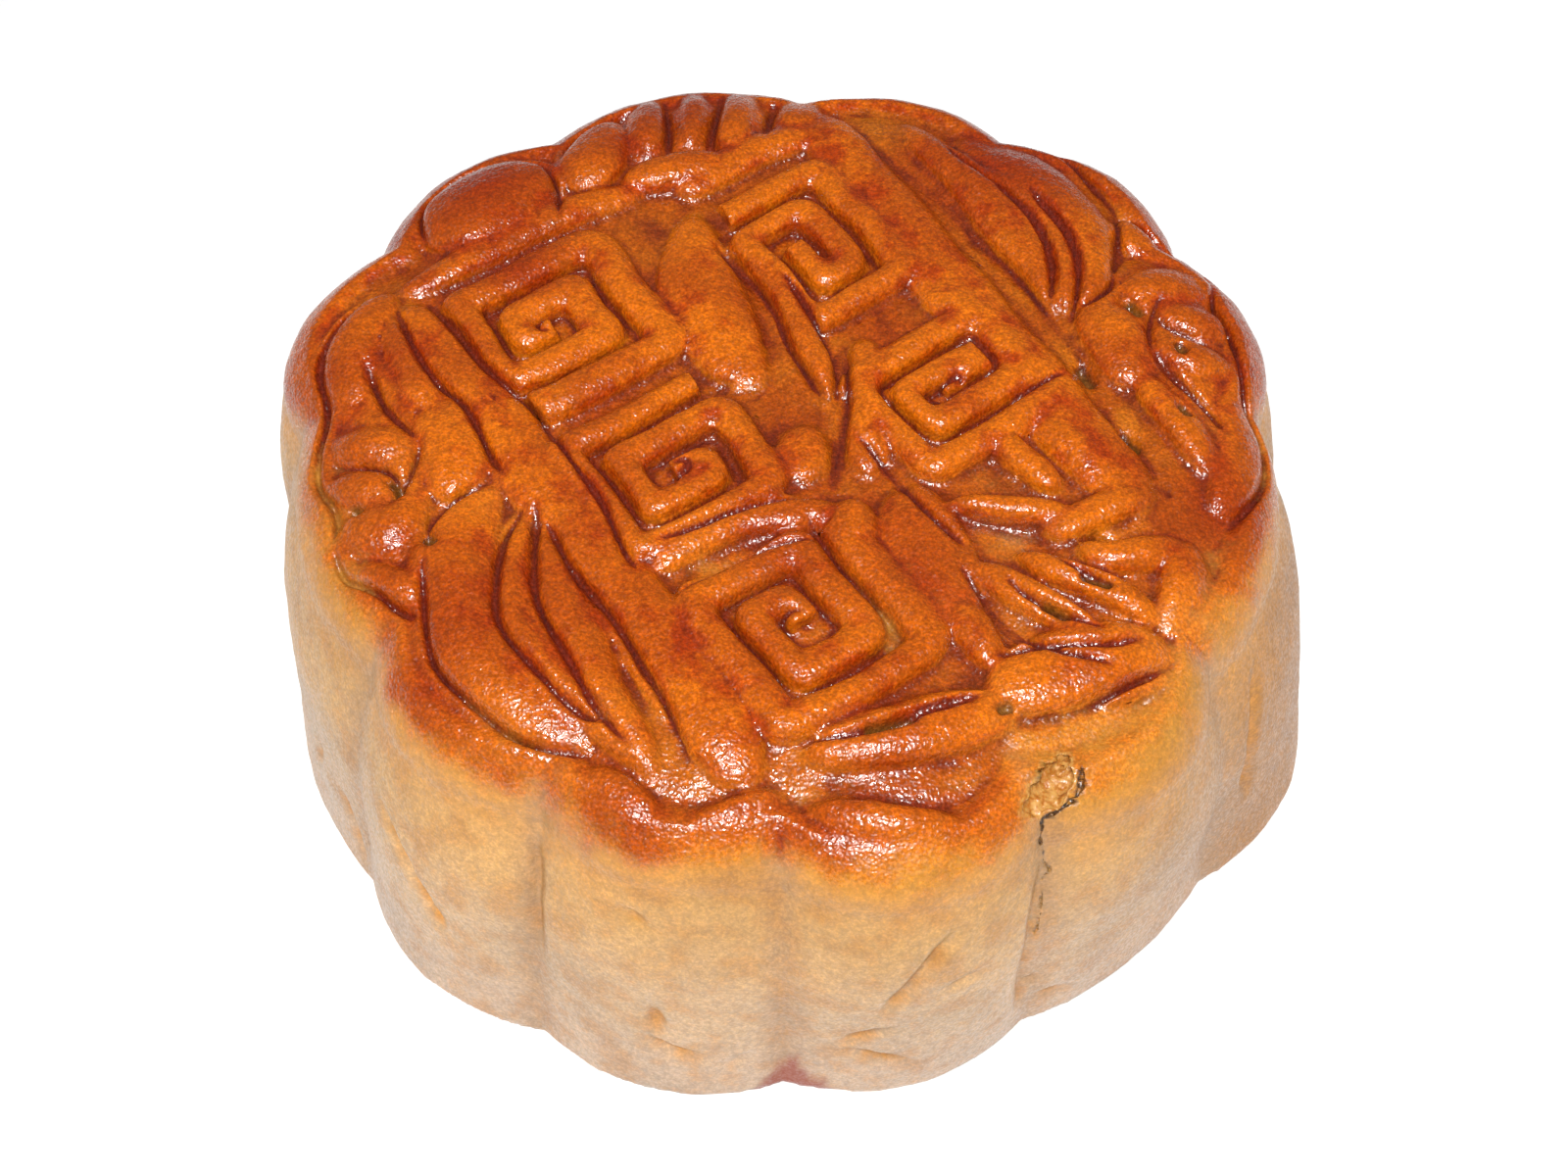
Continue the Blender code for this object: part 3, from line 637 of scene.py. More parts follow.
print("a line of three points is rounded to", len(rounded(np.zeros((3, 2)))), "points")

# %% [markdown]
# The veins, the gaps of the scrolls and the pits are pressed into the top alone, and a vein stops
# just under the floor of the field. The press is a function of the points, because it is measured
# again later to colour the lines.

# %% Press the veins and pits in
VEIN_DEPTH = 0.92 * MM
VEIN_WIDTH = 0.30 * MM
PIT_WIDTH = 0.42 * MM
PIT_DEPTH = 0.9 * MM
PRESSED_FROM = HEIGHT - 10 * MM
UNDER_FLOOR = 0.1 * MM


def vein_press(points):
    """How far the veins and the gaps of the scrolls press each point, 0 to 1."""
    lines = [rounded(np.array(vein) * MM) for vein in VEINS + VEINS_TWICE]
    lines += [rounded(-np.array(vein) * MM) for vein in VEINS_TWICE]
    for centre, width, length, stroke, quarter, hand in SCROLLS:
        gap = softened(gap_corners(width, length, stroke))
        lines.append(turned_with_banner(gap, centre, quarter, hand))
    lines = [np.stack(dragged(*line.T), 1) for line in lines]
    press = press_of(points[:, :2], lines, VEIN_WIDTH, TAPER)
    return np.where(points[:, 2] > PRESSED_FROM, press, 0)


def pit_press(points):
    """How far the pits press each point, 0 to 1."""
    lines = [np.stack(dragged(*(np.array(pit) * MM).T), 1) for pit in PITS]
    press = press_of(points[:, :2], lines, PIT_WIDTH, PIT_WIDTH)
    return np.where(points[:, 2] > PRESSED_FROM, press, 0)


skin = points_of(cake)
pressed = vein_press(skin)
deepest = crown(*skin[:, :2].T) - RELIEF - UNDER_FLOOR
skin[:, 2] = np.maximum(skin[:, 2] - VEIN_DEPTH * pressed, np.minimum(skin[:, 2], deepest))
skin[:, 2] -= PIT_DEPTH * pit_press(skin)
move_points(cake, skin)
apply(cake, "SMOOTH", factor=0.5, iterations=1)
print("veins touch", int((pressed > 0.2).sum()), "points")

# %% [markdown]
# ## Folds in the wall
#
# As the cake slumps in the oven its wall wrinkles near the tray, and the grooves between the
# lobes pinch. The same press draws these folds. The wall is unrolled flat for it: across is the
# angle as a length round the belly, and up is the height.

# %% Press the folds into the wall
FOLDS = (
    ((-104.5, 8.6), (-102, 7), (-99, 6.5)),
    ((-103.6, 13.4), (-103, 9)),
    ((-96, 5), (-94, 6.6)),
    ((-84.8, 8.8), (-82, 11), (-79, 11.8)),
    ((-84.8, 8.2), (-81, 6.6), (-77.5, 5.6)),
    ((-73.5, 24), (-77, 20), (-80.5, 15)),
    ((-75, 17), (-71, 17.6)),
    ((-117.6, 25), (-117, 20.6), (-116.5, 14)),
    ((-137.5, 20), (-132, 15.7), (-128, 10)),
    ((-106.5, 24), (-103.5, 22.6)),
    ((-63.4, 24.6), (-64.6, 19), (-65, 12), (-64.6, 5)),
    ((-66, 9.4), (-62, 8.6)),
    ((-62.6, 5.4), (-58.4, 4.8)),
    ((-151, 9), (-148, 5), (-147, 2)),
    ((-156, 12), (-158, 7)),
    ((-28, 24), (-31, 17), (-30, 10)),
    ((-9, 20), (-11, 13)),
    ((41, 14), (45, 8)),
    ((75, 18), (72, 11), (74, 5)),
    ((133, 9), (139, 7)),
    ((163, 20), (160, 12)),
)
FOLD_DEPTH = 0.70 * MM
FOLD_WIDTH = 0.60 * MM
PER_DEGREE = BELLY_RADIUS * math.pi / 180
WALL_FROM = 0.85 * BELLY_RADIUS


def fold_press(points):
    """How far the folds press each point of the wall, 0 to 1."""
    around = np.degrees(np.arctan2(points[:, 1], points[:, 0])) * PER_DEGREE
    unrolled = np.stack([around, points[:, 2]], 1)
    lines = [rounded(np.array(fold) * (PER_DEGREE, MM)) for fold in FOLDS]
    press = press_of(unrolled, lines, FOLD_WIDTH, TAPER)
    return np.where(np.hypot(points[:, 0], points[:, 1]) > WALL_FROM, press, 0)


skin = points_of(cake)
pressed = fold_press(skin)
skin[:, :2] *= 1 - FOLD_DEPTH / BELLY_RADIUS * pressed[:, None]
move_points(cake, skin)
print("folds touch", int((pressed > 0.2).sum()), "points")

# %% [markdown]
# ## Thinning and lumps
#
# Flat places need fewer faces than the relief. Decimate removes the faces that matter least.
# Then three noises of falling size push the skin in and out along its normals, because baked
# dough is never smooth: slow swellings, puckers and a fine grain.

# %% Thin the skin and push it in and out
FACE_BUDGET = 172000
LUMPS = (
    ("swelling", 11 * MM, 0.50 * MM),
    ("pucker", 3.2 * MM, 0.22 * MM),
    ("grain", 1.1 * MM, 0.08 * MM),
)


def push(piece, name, size, strength):
    """Pushes the skin in and out by a cloudy noise with lumps of this size."""
    clouds = bpy.data.textures.new(name, "CLOUDS")
    clouds.noise_scale = size
    clouds.noise_depth = 1
    apply(piece, "DISPLACE", texture=clouds, strength=strength, mid_level=0.5)


faces = sum(len(face.vertices) - 2 for face in cake.data.polygons)
apply(cake, "DECIMATE", ratio=FACE_BUDGET / faces)
print("thinned from", faces, "to", len(cake.data.polygons), "faces")
for lump in LUMPS:
    push(cake, *lump)

# %% [markdown]
# ## The torn blister
#
# Steam has lifted the crust at the front and torn it: a spoon-shaped hollow, and from its edge
# a ragged crack that runs down a groove of the wall. Both are placed by angle and height, so a
# formula finds the wall there, and the crack's points are then moved onto the real skin.


# %% Find a place on the wall
def on_wall(angle, z):
    """The wall's point at an angle in degrees and a height, before any relief or lumps."""
    turn = math.radians(angle)
    ratio = float(wall_ratio(z))
    if z > HEIGHT - SHOULDER:
        drop = 1 - (HEIGHT - z) / SHOULDER
        ratio = SHOULDER_IN + (SHOULDER_OUT - SHOULDER_IN) * math.sqrt(1 - drop**2)
    lobing = 1 + (TOP_LOBING - 1) * min(1, max(0, z / HEIGHT - LOBING_FROM) / LOBING_OVER) ** 2
    spread = 1 + (float(between_crests(angle, LOBE_SPREAD)) - 1) * max(0, 1 - z / (HEIGHT - SHOULDER))
    outline = float(lobe_ratio(angle)) ** lobing * float(between_crests(angle, LOBE_REACH)) * spread
    radius = BELLY_RADIUS * ratio * outline
    return (radius * math.cos(turn), radius * math.sin(turn), z)


def on_skin(point, depth):
    """The nearest point of the cake's real skin, moved in by a depth."""
    _, place, normal, _ = cake.closest_point_on_mesh(point)
    return tuple(place - depth * normal)


print("middle of the front:", [round(side / MM, 1) for side in on_wall(-90, BELLY_HEIGHT)], "mm")

# %% [markdown]
# The hollow is a flattened ball with strong lumps, and the crack is a rope along a list of
# angles, heights and half widths. Joined and wrapped in one skin by a voxel remesh, they are a
# single cutter. A fine noise frays it and a second remesh closes it again, because a Boolean
# only cuts cleanly with a closed shape.

# %% Cut the hollow and the crack
BLISTER = (-61.0, 30.5 * MM)
BLISTER_SIZE = (2.75 * MM, 1.2 * MM, 1.15 * MM)
BLISTER_TURN = (-40.0, 0.0, 58.0)
CRACK = (
    (-57.0, 31.3, 0.05), (-57.3, 30.9, 0.12), (-57.8, 30.5, 0.27), (-58.3, 30.2, 0.23), (-59.0, 29.8, 0.02),
    (-59.6, 29.7, 0.24), (-60.3, 29.5, 0.09), (-61.0, 29.3, 0.05), (-61.7, 29.1, 0.23), (-62.4, 29.0, 0.05),
    (-63.0, 28.8, 0.04), (-62.9, 28.4, 0.12), (-63.2, 27.8, 0.02), (-63.3, 27.2, 0.25), (-63.0, 26.6, 0.02),
    (-63.2, 25.3, 0.05), (-62.5, 24.1, 0.11), (-63.2, 23.4, 0.04), (-63.9, 22.7, 0.11), (-63.5, 21.8, 0.05),
    (-63.8, 21.0, 0.10), (-63.7, 19.5, 0.05), (-64.0, 18.3, 0.08), (-64.7, 16.4, 0.06), (-65.0, 13.4, 0.06),
)
STEPS_BETWEEN = 5
CRACK_SINK = 0.3  # how far the crack's middle lies under the skin, over its half width
CUTTER_VOXEL = 0.08 * MM
FRAYED_VOXEL = 0.07 * MM
TORN_LUMPS = (0.9 * MM, 1.0 * MM)  # the size and strength of a noise
FRAYED_EDGE = (0.4 * MM, 0.18 * MM)

bpy.ops.object.select_all(action="DESELECT")
bpy.ops.mesh.primitive_uv_sphere_add(segments=48, ring_count=24, radius=1, location=on_wall(*BLISTER))
hollow = bpy.context.object
hollow.name = "blister"
hollow.scale = BLISTER_SIZE
hollow.rotation_euler = [math.radians(turn) for turn in BLISTER_TURN]
bpy.ops.object.transform_apply(location=True, rotation=True, scale=True)
push(hollow, "torn", *TORN_LUMPS)
steps = np.linspace(0, len(CRACK) - 1, (len(CRACK) - 1) * STEPS_BETWEEN + 1)
fine_crack = [np.interp(steps, range(len(CRACK)), column).tolist() for column in zip(*CRACK)]
route = [on_skin(on_wall(angle, z * MM), CRACK_SINK * size * MM) for angle, z, size in zip(*fine_crack)]
crack = roll("crack", route, [size * MM for size in fine_crack[2]])
blister_points, crack_points = points_of(hollow), points_of(crack)
only(crack)
hollow.select_set(True)
bpy.context.view_layer.objects.active = crack
bpy.ops.object.join()
apply(crack, "REMESH", mode="VOXEL", voxel_size=CUTTER_VOXEL)
push(crack, "ragged", *FRAYED_EDGE)
apply(crack, "REMESH", mode="VOXEL", voxel_size=FRAYED_VOXEL)
apply(cake, "BOOLEAN", object=crack, operation="DIFFERENCE", solver="EXACT")
only(crack)
bpy.ops.object.delete()
print("after the cuts:", len(cake.data.polygons), "faces")

# %% [markdown]
# ## Shade, hollow and ridge
#
# Egg wash pools in creases and hollows and burns there. Over that, both are darkened as painted
# shade, and the crests are painted a little lighter, as painted light. To colour them, the skin
# needs to know where it dips and where it stands out. Each point is compared with the average of
# its neighbours, over a few rounds for creases and over many for wide hollows.


# %% Measure creases and crests
def curvature(piece, rounds):
    """How far each point lies under the average of its surroundings, in metres."""
    mesh = piece.data
    edges = np.empty(len(mesh.edges) * 2, np.int32)
    mesh.edges.foreach_get("vertices", edges)
    a, b = edges.reshape(-1, 2).T
    count = len(mesh.vertices)
    degree = np.bincount(a, minlength=count) + np.bincount(b, minlength=count)
    points = points_of(piece)
    blurred = points.copy()
    for _ in range(rounds):
        total = np.empty_like(blurred)
        for axis in range(3):
            column = blurred[:, axis]
            total[:, axis] = np.bincount(a, column[b], count) + np.bincount(b, column[a], count)
        blurred = 0.5 * blurred + 0.5 * total / degree[:, None]
    normals = np.empty(count * 3, np.float32)
    mesh.vertices.foreach_get("normal", normals)
    return ((blurred - points) * normals.reshape(-1, 3)).sum(1)


CREASE_ROUNDS = 6
HOLLOW_ROUNDS = 40
fine = curvature(cake, CREASE_ROUNDS)
wide = curvature(cake, HOLLOW_ROUNDS)
print("deepest crease:", round(float(fine.max()) / MM, 2), "mm")
print("highest crest:", round(float(-wide.min()) / MM, 2), "mm")

# %% [markdown]
# Each measure is kept in the mesh as an attribute, one number for every point, and the material
# reads it by its name. So the colours follow the shape exactly, with no picture wrapped round it.

# %% Store the measures
FULL_CREASE = 0.12 * MM
FULL_CREST = 0.30 * MM
FULL_HOLLOW = 0.40 * MM


def store(piece, name, values):
    """Keeps one number for each point in the mesh, where the material can read it."""
    piece.data.attributes.new(name, "FLOAT", "POINT").data.foreach_set("value", values)
    print(name, "from", round(float(values.min()), 2), "to", round(float(values.max()), 2))


store(cake, "crease", np.clip(fine / FULL_CREASE, 0, 1))
store(cake, "crest", np.clip(-wide / FULL_CREST, 0, 1))
store(cake, "hollow", np.clip(wide / FULL_HOLLOW, 0, 1))
skin = points_of(cake)
above_floor = (skin[:, 2] - crown(*skin[:, :2].T) + RELIEF) / RELIEF
over_field = outline_share(*skin[:, :2].T) < SHOULDER_OUT
store(cake, "relief", np.where(over_field, np.clip(above_floor, 0, 1.2), 1.0))
store(cake, "vein", vein_press(skin))
store(cake, "pit", pit_press(skin))
store(cake, "fold", fold_press(skin))
angle = np.degrees(np.arctan2(skin[:, 1], skin[:, 0]))
store(cake, "groove", np.clip((1 - lobe_ratio(angle)) / (1 - GROOVE_RATIO), 0, 1))

# %% [markdown]
# ## Browned, torn and burnt places
#
# An oven browns a cake in patches. Each patch is a soft round spot: its place in millimetres, its
# reach and its strength. The torn crumb and the crack are the skin that lies close to the points
# of the cutter. At the foot of the front groove a little syrup ran out and burnt to caramel.

# %% Mark the patches, the tear and the caramel
PATCH_FALL = 1.2
TORN_REACH = 0.35 * MM
CRACK_REACH = 0.12 * MM
CARAMEL_ANGLE = -89.5
CARAMEL_HALF_WIDTH = 3.7  # degrees
CARAMEL_HEIGHT = 4.4 * MM
CARAMEL_SIZE = 1.3
CARAMEL_EDGE = 0.2
BROWNED = (
    (-22.0, 22.5, 8.0, 0.9), (-19.5, 13.2, 3.5, 0.8), (-8.0, 31.5, 9.0, 0.65), (-32.0, 3.5, 6.5, 0.55),
    (-28.0, -12.5, 6.0, 0.55), (0.5, -14.0, 6.0, 0.65), (9.5, -14.0, 6.5, 0.7), (17.0, 25.0, 9.5, 0.8),
    (-21.0, -19.0, 7.5, 0.6), (-31.5, -5.0, 6.0, 0.6), (-14.0, -26.0, 4.0, 0.35), (20.0, 16.0, 5.0, 0.4),
    (30.0, -9.0, 6.0, 0.65), (30.5, 9.0, 8.0, 0.3), (-11.5, -33.0, 4.5, 0.45), (6.0, -30.5, 5.0, 0.4),
)


def nearness(points, others, reach):
    """1 where a point lies on one of the others, falling to 0 at the reach."""
    close = np.flatnonzero(np.abs(points - others.mean(0)).max(1) < np.ptp(others, axis=0).max() + reach)
    share = np.zeros(len(points))
    for index in close:
        gap = np.sqrt(((others - points[index]) ** 2).sum(1).min())
        share[index] = max(0, 1 - gap / reach)
    return share


store(cake, "torn", nearness(skin, blister_points, TORN_REACH))
store(cake, "cracked", nearness(skin, crack_points, CRACK_REACH))
browned = np.zeros(len(skin))
for x, y, reach, share in BROWNED:
    away = np.hypot(skin[:, 0] - x * MM, skin[:, 1] - y * MM) / (reach * MM)
    browned = np.maximum(browned, share * np.exp(-((away * PATCH_FALL) ** 2)))
store(cake, "browned", browned)
inside = CARAMEL_SIZE - np.abs(angle - CARAMEL_ANGLE) / CARAMEL_HALF_WIDTH - skin[:, 2] / CARAMEL_HEIGHT
burnt_foot = np.clip(inside, 0, CARAMEL_EDGE) / CARAMEL_EDGE
store(cake, "caramel", np.where(np.hypot(*skin[:, :2].T) > WALL_FROM, burnt_foot, 0))

# %% [markdown]
# ## Settling
#
# Last, the whole cake leans a little towards the front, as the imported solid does, and its base
# is made flat, because it lay on the tray.

# %% Let it lean and stand flat
LEAN = (-0.1 * MM, -1.9 * MM)
TRAY_TOUCH = 0.35 * MM

skin = points_of(cake)
on_tray = skin[:, 2] < TRAY_TOUCH
skin[:, :2] += np.outer(skin[:, 2] / HEIGHT, LEAN)
middle = (skin.min(0) + skin.max(0)) / 2 - np.array((low + high) / 2)
skin[:, :2] -= middle[:2]
skin[:, 2] = np.where(on_tray, np.minimum(skin[:, 2], 0), skin[:, 2])
skin[:, 2] = np.maximum(skin[:, 2], 0)
move_points(cake, skin)
print("settled:", [round(side * 1000, 1) for side in cake.dimensions], "mm")
print("moved to the middle by", (1000 * middle[:2]).round(2), "mm")

# %% [markdown]
# ## The crust's material
#
# One skin, several finishes: egg-glazed and orange-brown on top, wine-brown in the creases, where
# glaze burnt and where shade is painted, golden on the floors between, then fading down the wall to
# pale matte dough. All of it is mixed in one material, from position, the stored measures and
# noise. Such a material has many nodes, so a small class adds them and wires them by name.


# %% Node helpers
class Nodes:
    """Adds nodes to one material, left to right, and wires them by name."""

    def __init__(self, name):
        self.material = bpy.data.materials.new(name)
        self.material.use_nodes = True
        self.tree = self.material.node_tree
        self.shader = self.tree.nodes["Principled BSDF"]

    def add(self, kind, **settings):
        """One node of a kind, with these settings."""
        node = self.tree.nodes.new("ShaderNode" + kind)
        for name, value in settings.items():
            setattr(node, name, value)
        return node

    def wire(self, source, target):
        """Gives a socket a number or a colour, or links it to another node's result."""
        if isinstance(source, (int, float)):
            target.default_value = source
        elif isinstance(source, tuple):
            target.default_value = (*source, 1)
        else:
            self.tree.links.new(source, target)

    def maths(self, operation, first, second=0.0):
        node = self.add("Math", operation=operation)
        self.wire(first, node.inputs[0])
        self.wire(second, node.inputs[1])
        return node.outputs[0]

    def plus(self, first, second):
        return self.maths("ADD", first, second)

    def times(self, first, second):
        return self.maths("MULTIPLY", first, second)

    def span(self, value, start, end, low=0.0, high=1.0):
        """Runs smoothly from low to high while the value runs from start to end."""
        node = self.add("MapRange", interpolation_type="SMOOTHSTEP")
        self.wire(value, node.inputs["Value"])
        for name, number in (("From Min", start), ("From Max", end), ("To Min", low), ("To Max", high)):
            node.inputs[name].default_value = number
        return node.outputs["Result"]

    def mix(self, share, first, second, blend="MIX"):
        """The first colour with a share of the second over it."""
        node = self.add("Mix", data_type="RGBA", blend_type=blend)
        self.wire(share, node.inputs[0])
        self.wire(first, node.inputs[6])
        self.wire(second, node.inputs[7])
        return node.outputs[2]

    def shade(self, colour, value):
        """The colour made darker by a value under 1 and lighter by one over it."""
        grey = self.add("CombineColor")
        for socket in grey.inputs[:3]:
            self.wire(value, socket)
        return self.mix(1.0, colour, grey.outputs[0], "MULTIPLY")

    def noise(self, vector, size, detail=3.0, rough=0.55):
        """A noise from 0 to 1 with lumps of this size."""
        node = self.add("TexNoise")
        self.wire(vector, node.inputs["Vector"])
        node.inputs["Scale"].default_value = 1 / size
        node.inputs["Detail"].default_value = detail
        node.inputs["Roughness"].default_value = rough
        return node.outputs["Fac"]

    def attribute(self, name):
        """One of the numbers stored in the mesh."""
        return self.add("Attribute", attribute_name=name).outputs["Fac"]


# %% [markdown]
# The colours are red, green and blue in linear light, which is how Blender mixes them. Egg glaze
# reflects almost no blue, and the dry dough of the wall much more.

# %% Colours of the bake
GLAZE = (0.33, 0.037, 0.0010)
GLAZE_GOLD = (0.48, 0.103, 0.0020)
GLAZE_THIN = (0.60, 0.185, 0.016)
GLAZE_DEEP = (0.23, 0.019, 0.0012)
WINE = (0.11, 0.010, 0.004)
BURNT = (0.060, 0.007, 0.004)
FLOOR_GOLD = (0.41, 0.112, 0.004)
OLIVE = (0.115, 0.045, 0.006)
WALL_AMBER = (0.495, 0.208, 0.026)
WALL_TAN = (0.51, 0.272, 0.080)
WALL_PALE = (0.485, 0.302, 0.152)
WALL_CREAM = (0.47, 0.315, 0.200)
WALL_SHADE = (0.36, 0.190, 0.075)
WALL_GOLDEN = (0.40, 0.165, 0.024)
WALL_OCHRE = (0.34, 0.135, 0.012)
CARAMEL = (0.25, 0.040, 0.005)
TORN_GOLD = (0.52, 0.27, 0.070)
TORN_BROWN = (0.36, 0.120, 0.012)
CRACK_SHADE = (0.035, 0.014, 0.005)
CRACK_OLIVE = (0.20, 0.105, 0.022)
print("glaze reflects", round(GLAZE[0] / GLAZE[1]), "times as much red as green")

# %% [markdown]
# Before any colour is mixed, each finish gets a share from 0 to 1 at every point. Egg wash was
# brushed on by hand, so its edge is a height made ragged by three noises, and it reaches farther
# down at the back than at the front.

# %% Where each finish shows
GLAZE_EDGE = (28.4 * MM, 31.4 * MM)
THIN_EDGE = (29.5 * MM, 33 * MM)
RAGGED_BY = (7 * MM, 3 * MM, 1.2 * MM)
BACK_LOWER = 4.5 * MM


def shares(n, place):
    """How strongly each finish shows at a point: glaze, floor, crest, vein, wine and so on."""
    axes = n.add("SeparateXYZ")
    n.wire(place, axes.inputs[0])
    broad = n.noise(place, 9 * MM, 2)
    medium = n.noise(place, 2.4 * MM, 4)
    small = n.noise(place, 0.6 * MM, 3, 0.65)
    ragged = axes.outputs["Z"]
    for noise, reach in zip((broad, medium, small), RAGGED_BY):
        ragged = n.plus(ragged, n.times(n.maths("SUBTRACT", noise, 0.5), reach))
    behind = n.span(axes.outputs["Y"], -12 * MM, 24 * MM)
    ragged = n.plus(ragged, n.times(behind, BACK_LOWER))
    broken = n.plus(n.attribute("vein"), n.times(n.maths("SUBTRACT", medium, 0.5), 0.9))
    across = n.times(axes.outputs["X"], axes.outputs["X"])
    along = n.times(axes.outputs["Y"], axes.outputs["Y"])
    out = n.maths("SQRT", n.plus(across, along))
    return {
        "height": ragged,
        "raw_height": axes.outputs["Z"],
        "broad": broad,
        "medium": medium,
        "small": small,
        "glazed": n.span(ragged, *GLAZE_EDGE),
        "thin": n.span(ragged, *THIN_EDGE, 1, 0),
        "floor": n.span(n.attribute("relief"), 0.10, 0.50, 1, 0),
        "crest": n.attribute("crest"),
        "vein": n.span(n.attribute("vein"), 0.35, 0.95),
        "core": n.span(broken, 0.75, 1.15),
        "crease": n.span(n.attribute("crease"), 0.12, 0.75),
        "fold": n.attribute("fold"),
        "hollow": n.span(n.attribute("hollow"), 0.06, 0.65),
        "browned": n.attribute("browned"),
        "right": n.span(axes.outputs["X"], 16 * MM, 38 * MM),
        "rim": n.span(out, 26 * MM, 37 * MM),
        "behind": behind,
    }


# %% [markdown]
# The glaze is laid down as a painter would: a mottled ground, lighter on the crests as painted
# light, then each darker wash over it, among them painted shade in hollows and creases, and the
# burnt lines last. The dry wall is four bands of colour, one above the other, with painted shade
# in the grooves between its lobes.

# %% Mix the glaze and the wall
PALE_BAND = (3 * MM, 13 * MM)
TAN_BAND = (13 * MM, 24 * MM)
AMBER_BAND = (22.5 * MM, 29.5 * MM)


def glaze_colour(n, part):
    """Egg glaze: gold mottled with red, browner in patches, with painted shade in hollows and creases and a
    painted light on crests, burnt in lines.
    """
    # Crests are mixed a little towards gold: painted light where they catch the lamp.
    gold = n.plus(part["medium"], n.times(part["crest"], 0.25))
    glaze = n.mix(n.span(gold, 0.38, 0.70), GLAZE, GLAZE_GOLD)
    glaze = n.mix(n.times(part["floor"], 0.75), glaze, FLOOR_GOLD)
    glaze = n.mix(n.times(part["thin"], 0.6), glaze, GLAZE_THIN)
    glaze = n.mix(n.span(part["broad"], 0.42, 0.66, 0, 0.5), glaze, GLAZE_DEEP)
    proud = n.times(n.times(part["crest"], part["rim"]), part["behind"])
    glaze = n.mix(n.times(proud, 0.65), glaze, GLAZE_DEEP)
    glaze = n.mix(part["browned"], glaze, GLAZE_DEEP)
    # Wide hollows off the floors darken: painted shade, where some glaze also pools.
    off_floor = n.maths("SUBTRACT", 1.0, n.times(part["floor"], 0.45))
    painted_hollow_shade = n.times(part["hollow"], off_floor)
    glaze = n.mix(n.times(painted_hollow_shade, 0.85), glaze, GLAZE_DEEP)
    glaze = n.mix(n.times(part["vein"], 0.65), glaze, WINE)
    # Creases turn wine-brown: glaze burnt there, with painted shade over it.
    glaze = n.mix(n.times(part["crease"], 0.75), glaze, WINE)
    glaze = n.mix(n.span(n.attribute("pit"), 0.05, 0.9, 0, 0.8), glaze, OLIVE)
    return n.mix(n.times(part["core"], 0.7), glaze, BURNT)


def wall_colour(n, part):
    """Dry wall: pinkish cream at the tray, paler dough with a painted sheen, then pale, tan and amber, ochre
    on the right, and painted shade in the grooves between the lobes.
    """
    # Cream at the tray: paler dough with a painted sheen of the bright floor's light over it.
    wall = n.mix(n.span(part["height"], *PALE_BAND), WALL_CREAM, WALL_PALE)
    wall = n.mix(n.span(part["height"], *TAN_BAND), wall, WALL_TAN)
    wall = n.mix(part["right"], wall, WALL_OCHRE)
    wall = n.mix(n.span(part["height"], *AMBER_BAND), wall, WALL_AMBER)
    stain = n.times(n.span(part["fold"], 0.1, 0.8), n.span(part["medium"], 0.35, 0.6))
    wall = n.mix(n.times(stain, 0.85), wall, WALL_AMBER)
    # Painted shade: darker in the grooves between the lobes.
    wall = n.mix(n.span(n.attribute("groove"), 0.55, 1.0, 0, 0.7), wall, WALL_SHADE)
    wall = n.mix(n.span(part["medium"], 0.44, 0.66, 0, 0.5), wall, WALL_GOLDEN)
    return n.shade(wall, n.span(part["broad"], 0.32, 0.68, 0.91, 1.06))


# %% [markdown]
# Over both lie the fine flecks, grain of the glaze and partly painted glints, the crumb of the torn
# blister, the gap of the crack and the caramel. The crack is deep at its top and painted dark there
# as shade, and lower down it is shallow and olive.

# %% Colour the whole crust
GAP_DARKENS = (23.5 * MM, 26.5 * MM)


def crust_colour(n, place, part):
    """Glaze over wall, then flecks with painted glints, crumb, the crack with painted shade at its top, and
    caramel.
    """
    colour = n.mix(part["glazed"], wall_colour(n, part), glaze_colour(n, part))
    colour = n.shade(colour, n.span(part["small"], 0.28, 0.75, 0.82, 1.14))
    # Fine specks, darker and lighter: grain of the glaze, and the bright ones also painted glints.
    fleck_and_glint = n.span(n.noise(place, 0.24 * MM, 2, 0.7), 0.36, 0.76, -0.20, 0.50)
    fleck_and_glint = n.plus(1.0, n.times(fleck_and_glint, n.span(part["glazed"], 0, 1, 0.5, 1.0)))
    colour = n.shade(colour, fleck_and_glint)
    crumb = n.mix(n.span(n.noise(place, 0.45 * MM, 3, 0.7), 0.38, 0.62), TORN_BROWN, TORN_GOLD)
    colour = n.mix(n.span(n.attribute("torn"), 0.1, 0.6), colour, crumb)
    # Painted shade: the crack's gap is near black where it is deep, and olive lower down.
    gap = n.mix(n.span(part["raw_height"], *GAP_DARKENS), CRACK_OLIVE, CRACK_SHADE)
    colour = n.mix(n.span(n.attribute("cracked"), 0.2, 0.8), colour, gap)
    return n.mix(n.attribute("caramel"), colour, CARAMEL)


# %% [markdown]
# The shine is a low roughness that varies from grain to grain, over a bump of soft dimples. Noise
# without fine detail is used for both, so that each glint stays whole. The dry wall is rougher,
# with short upright fibres. A little light passes through dough, which subsurface stands for.

# %% Put the crust together
BUMP_HEIGHT = 0.10 * MM


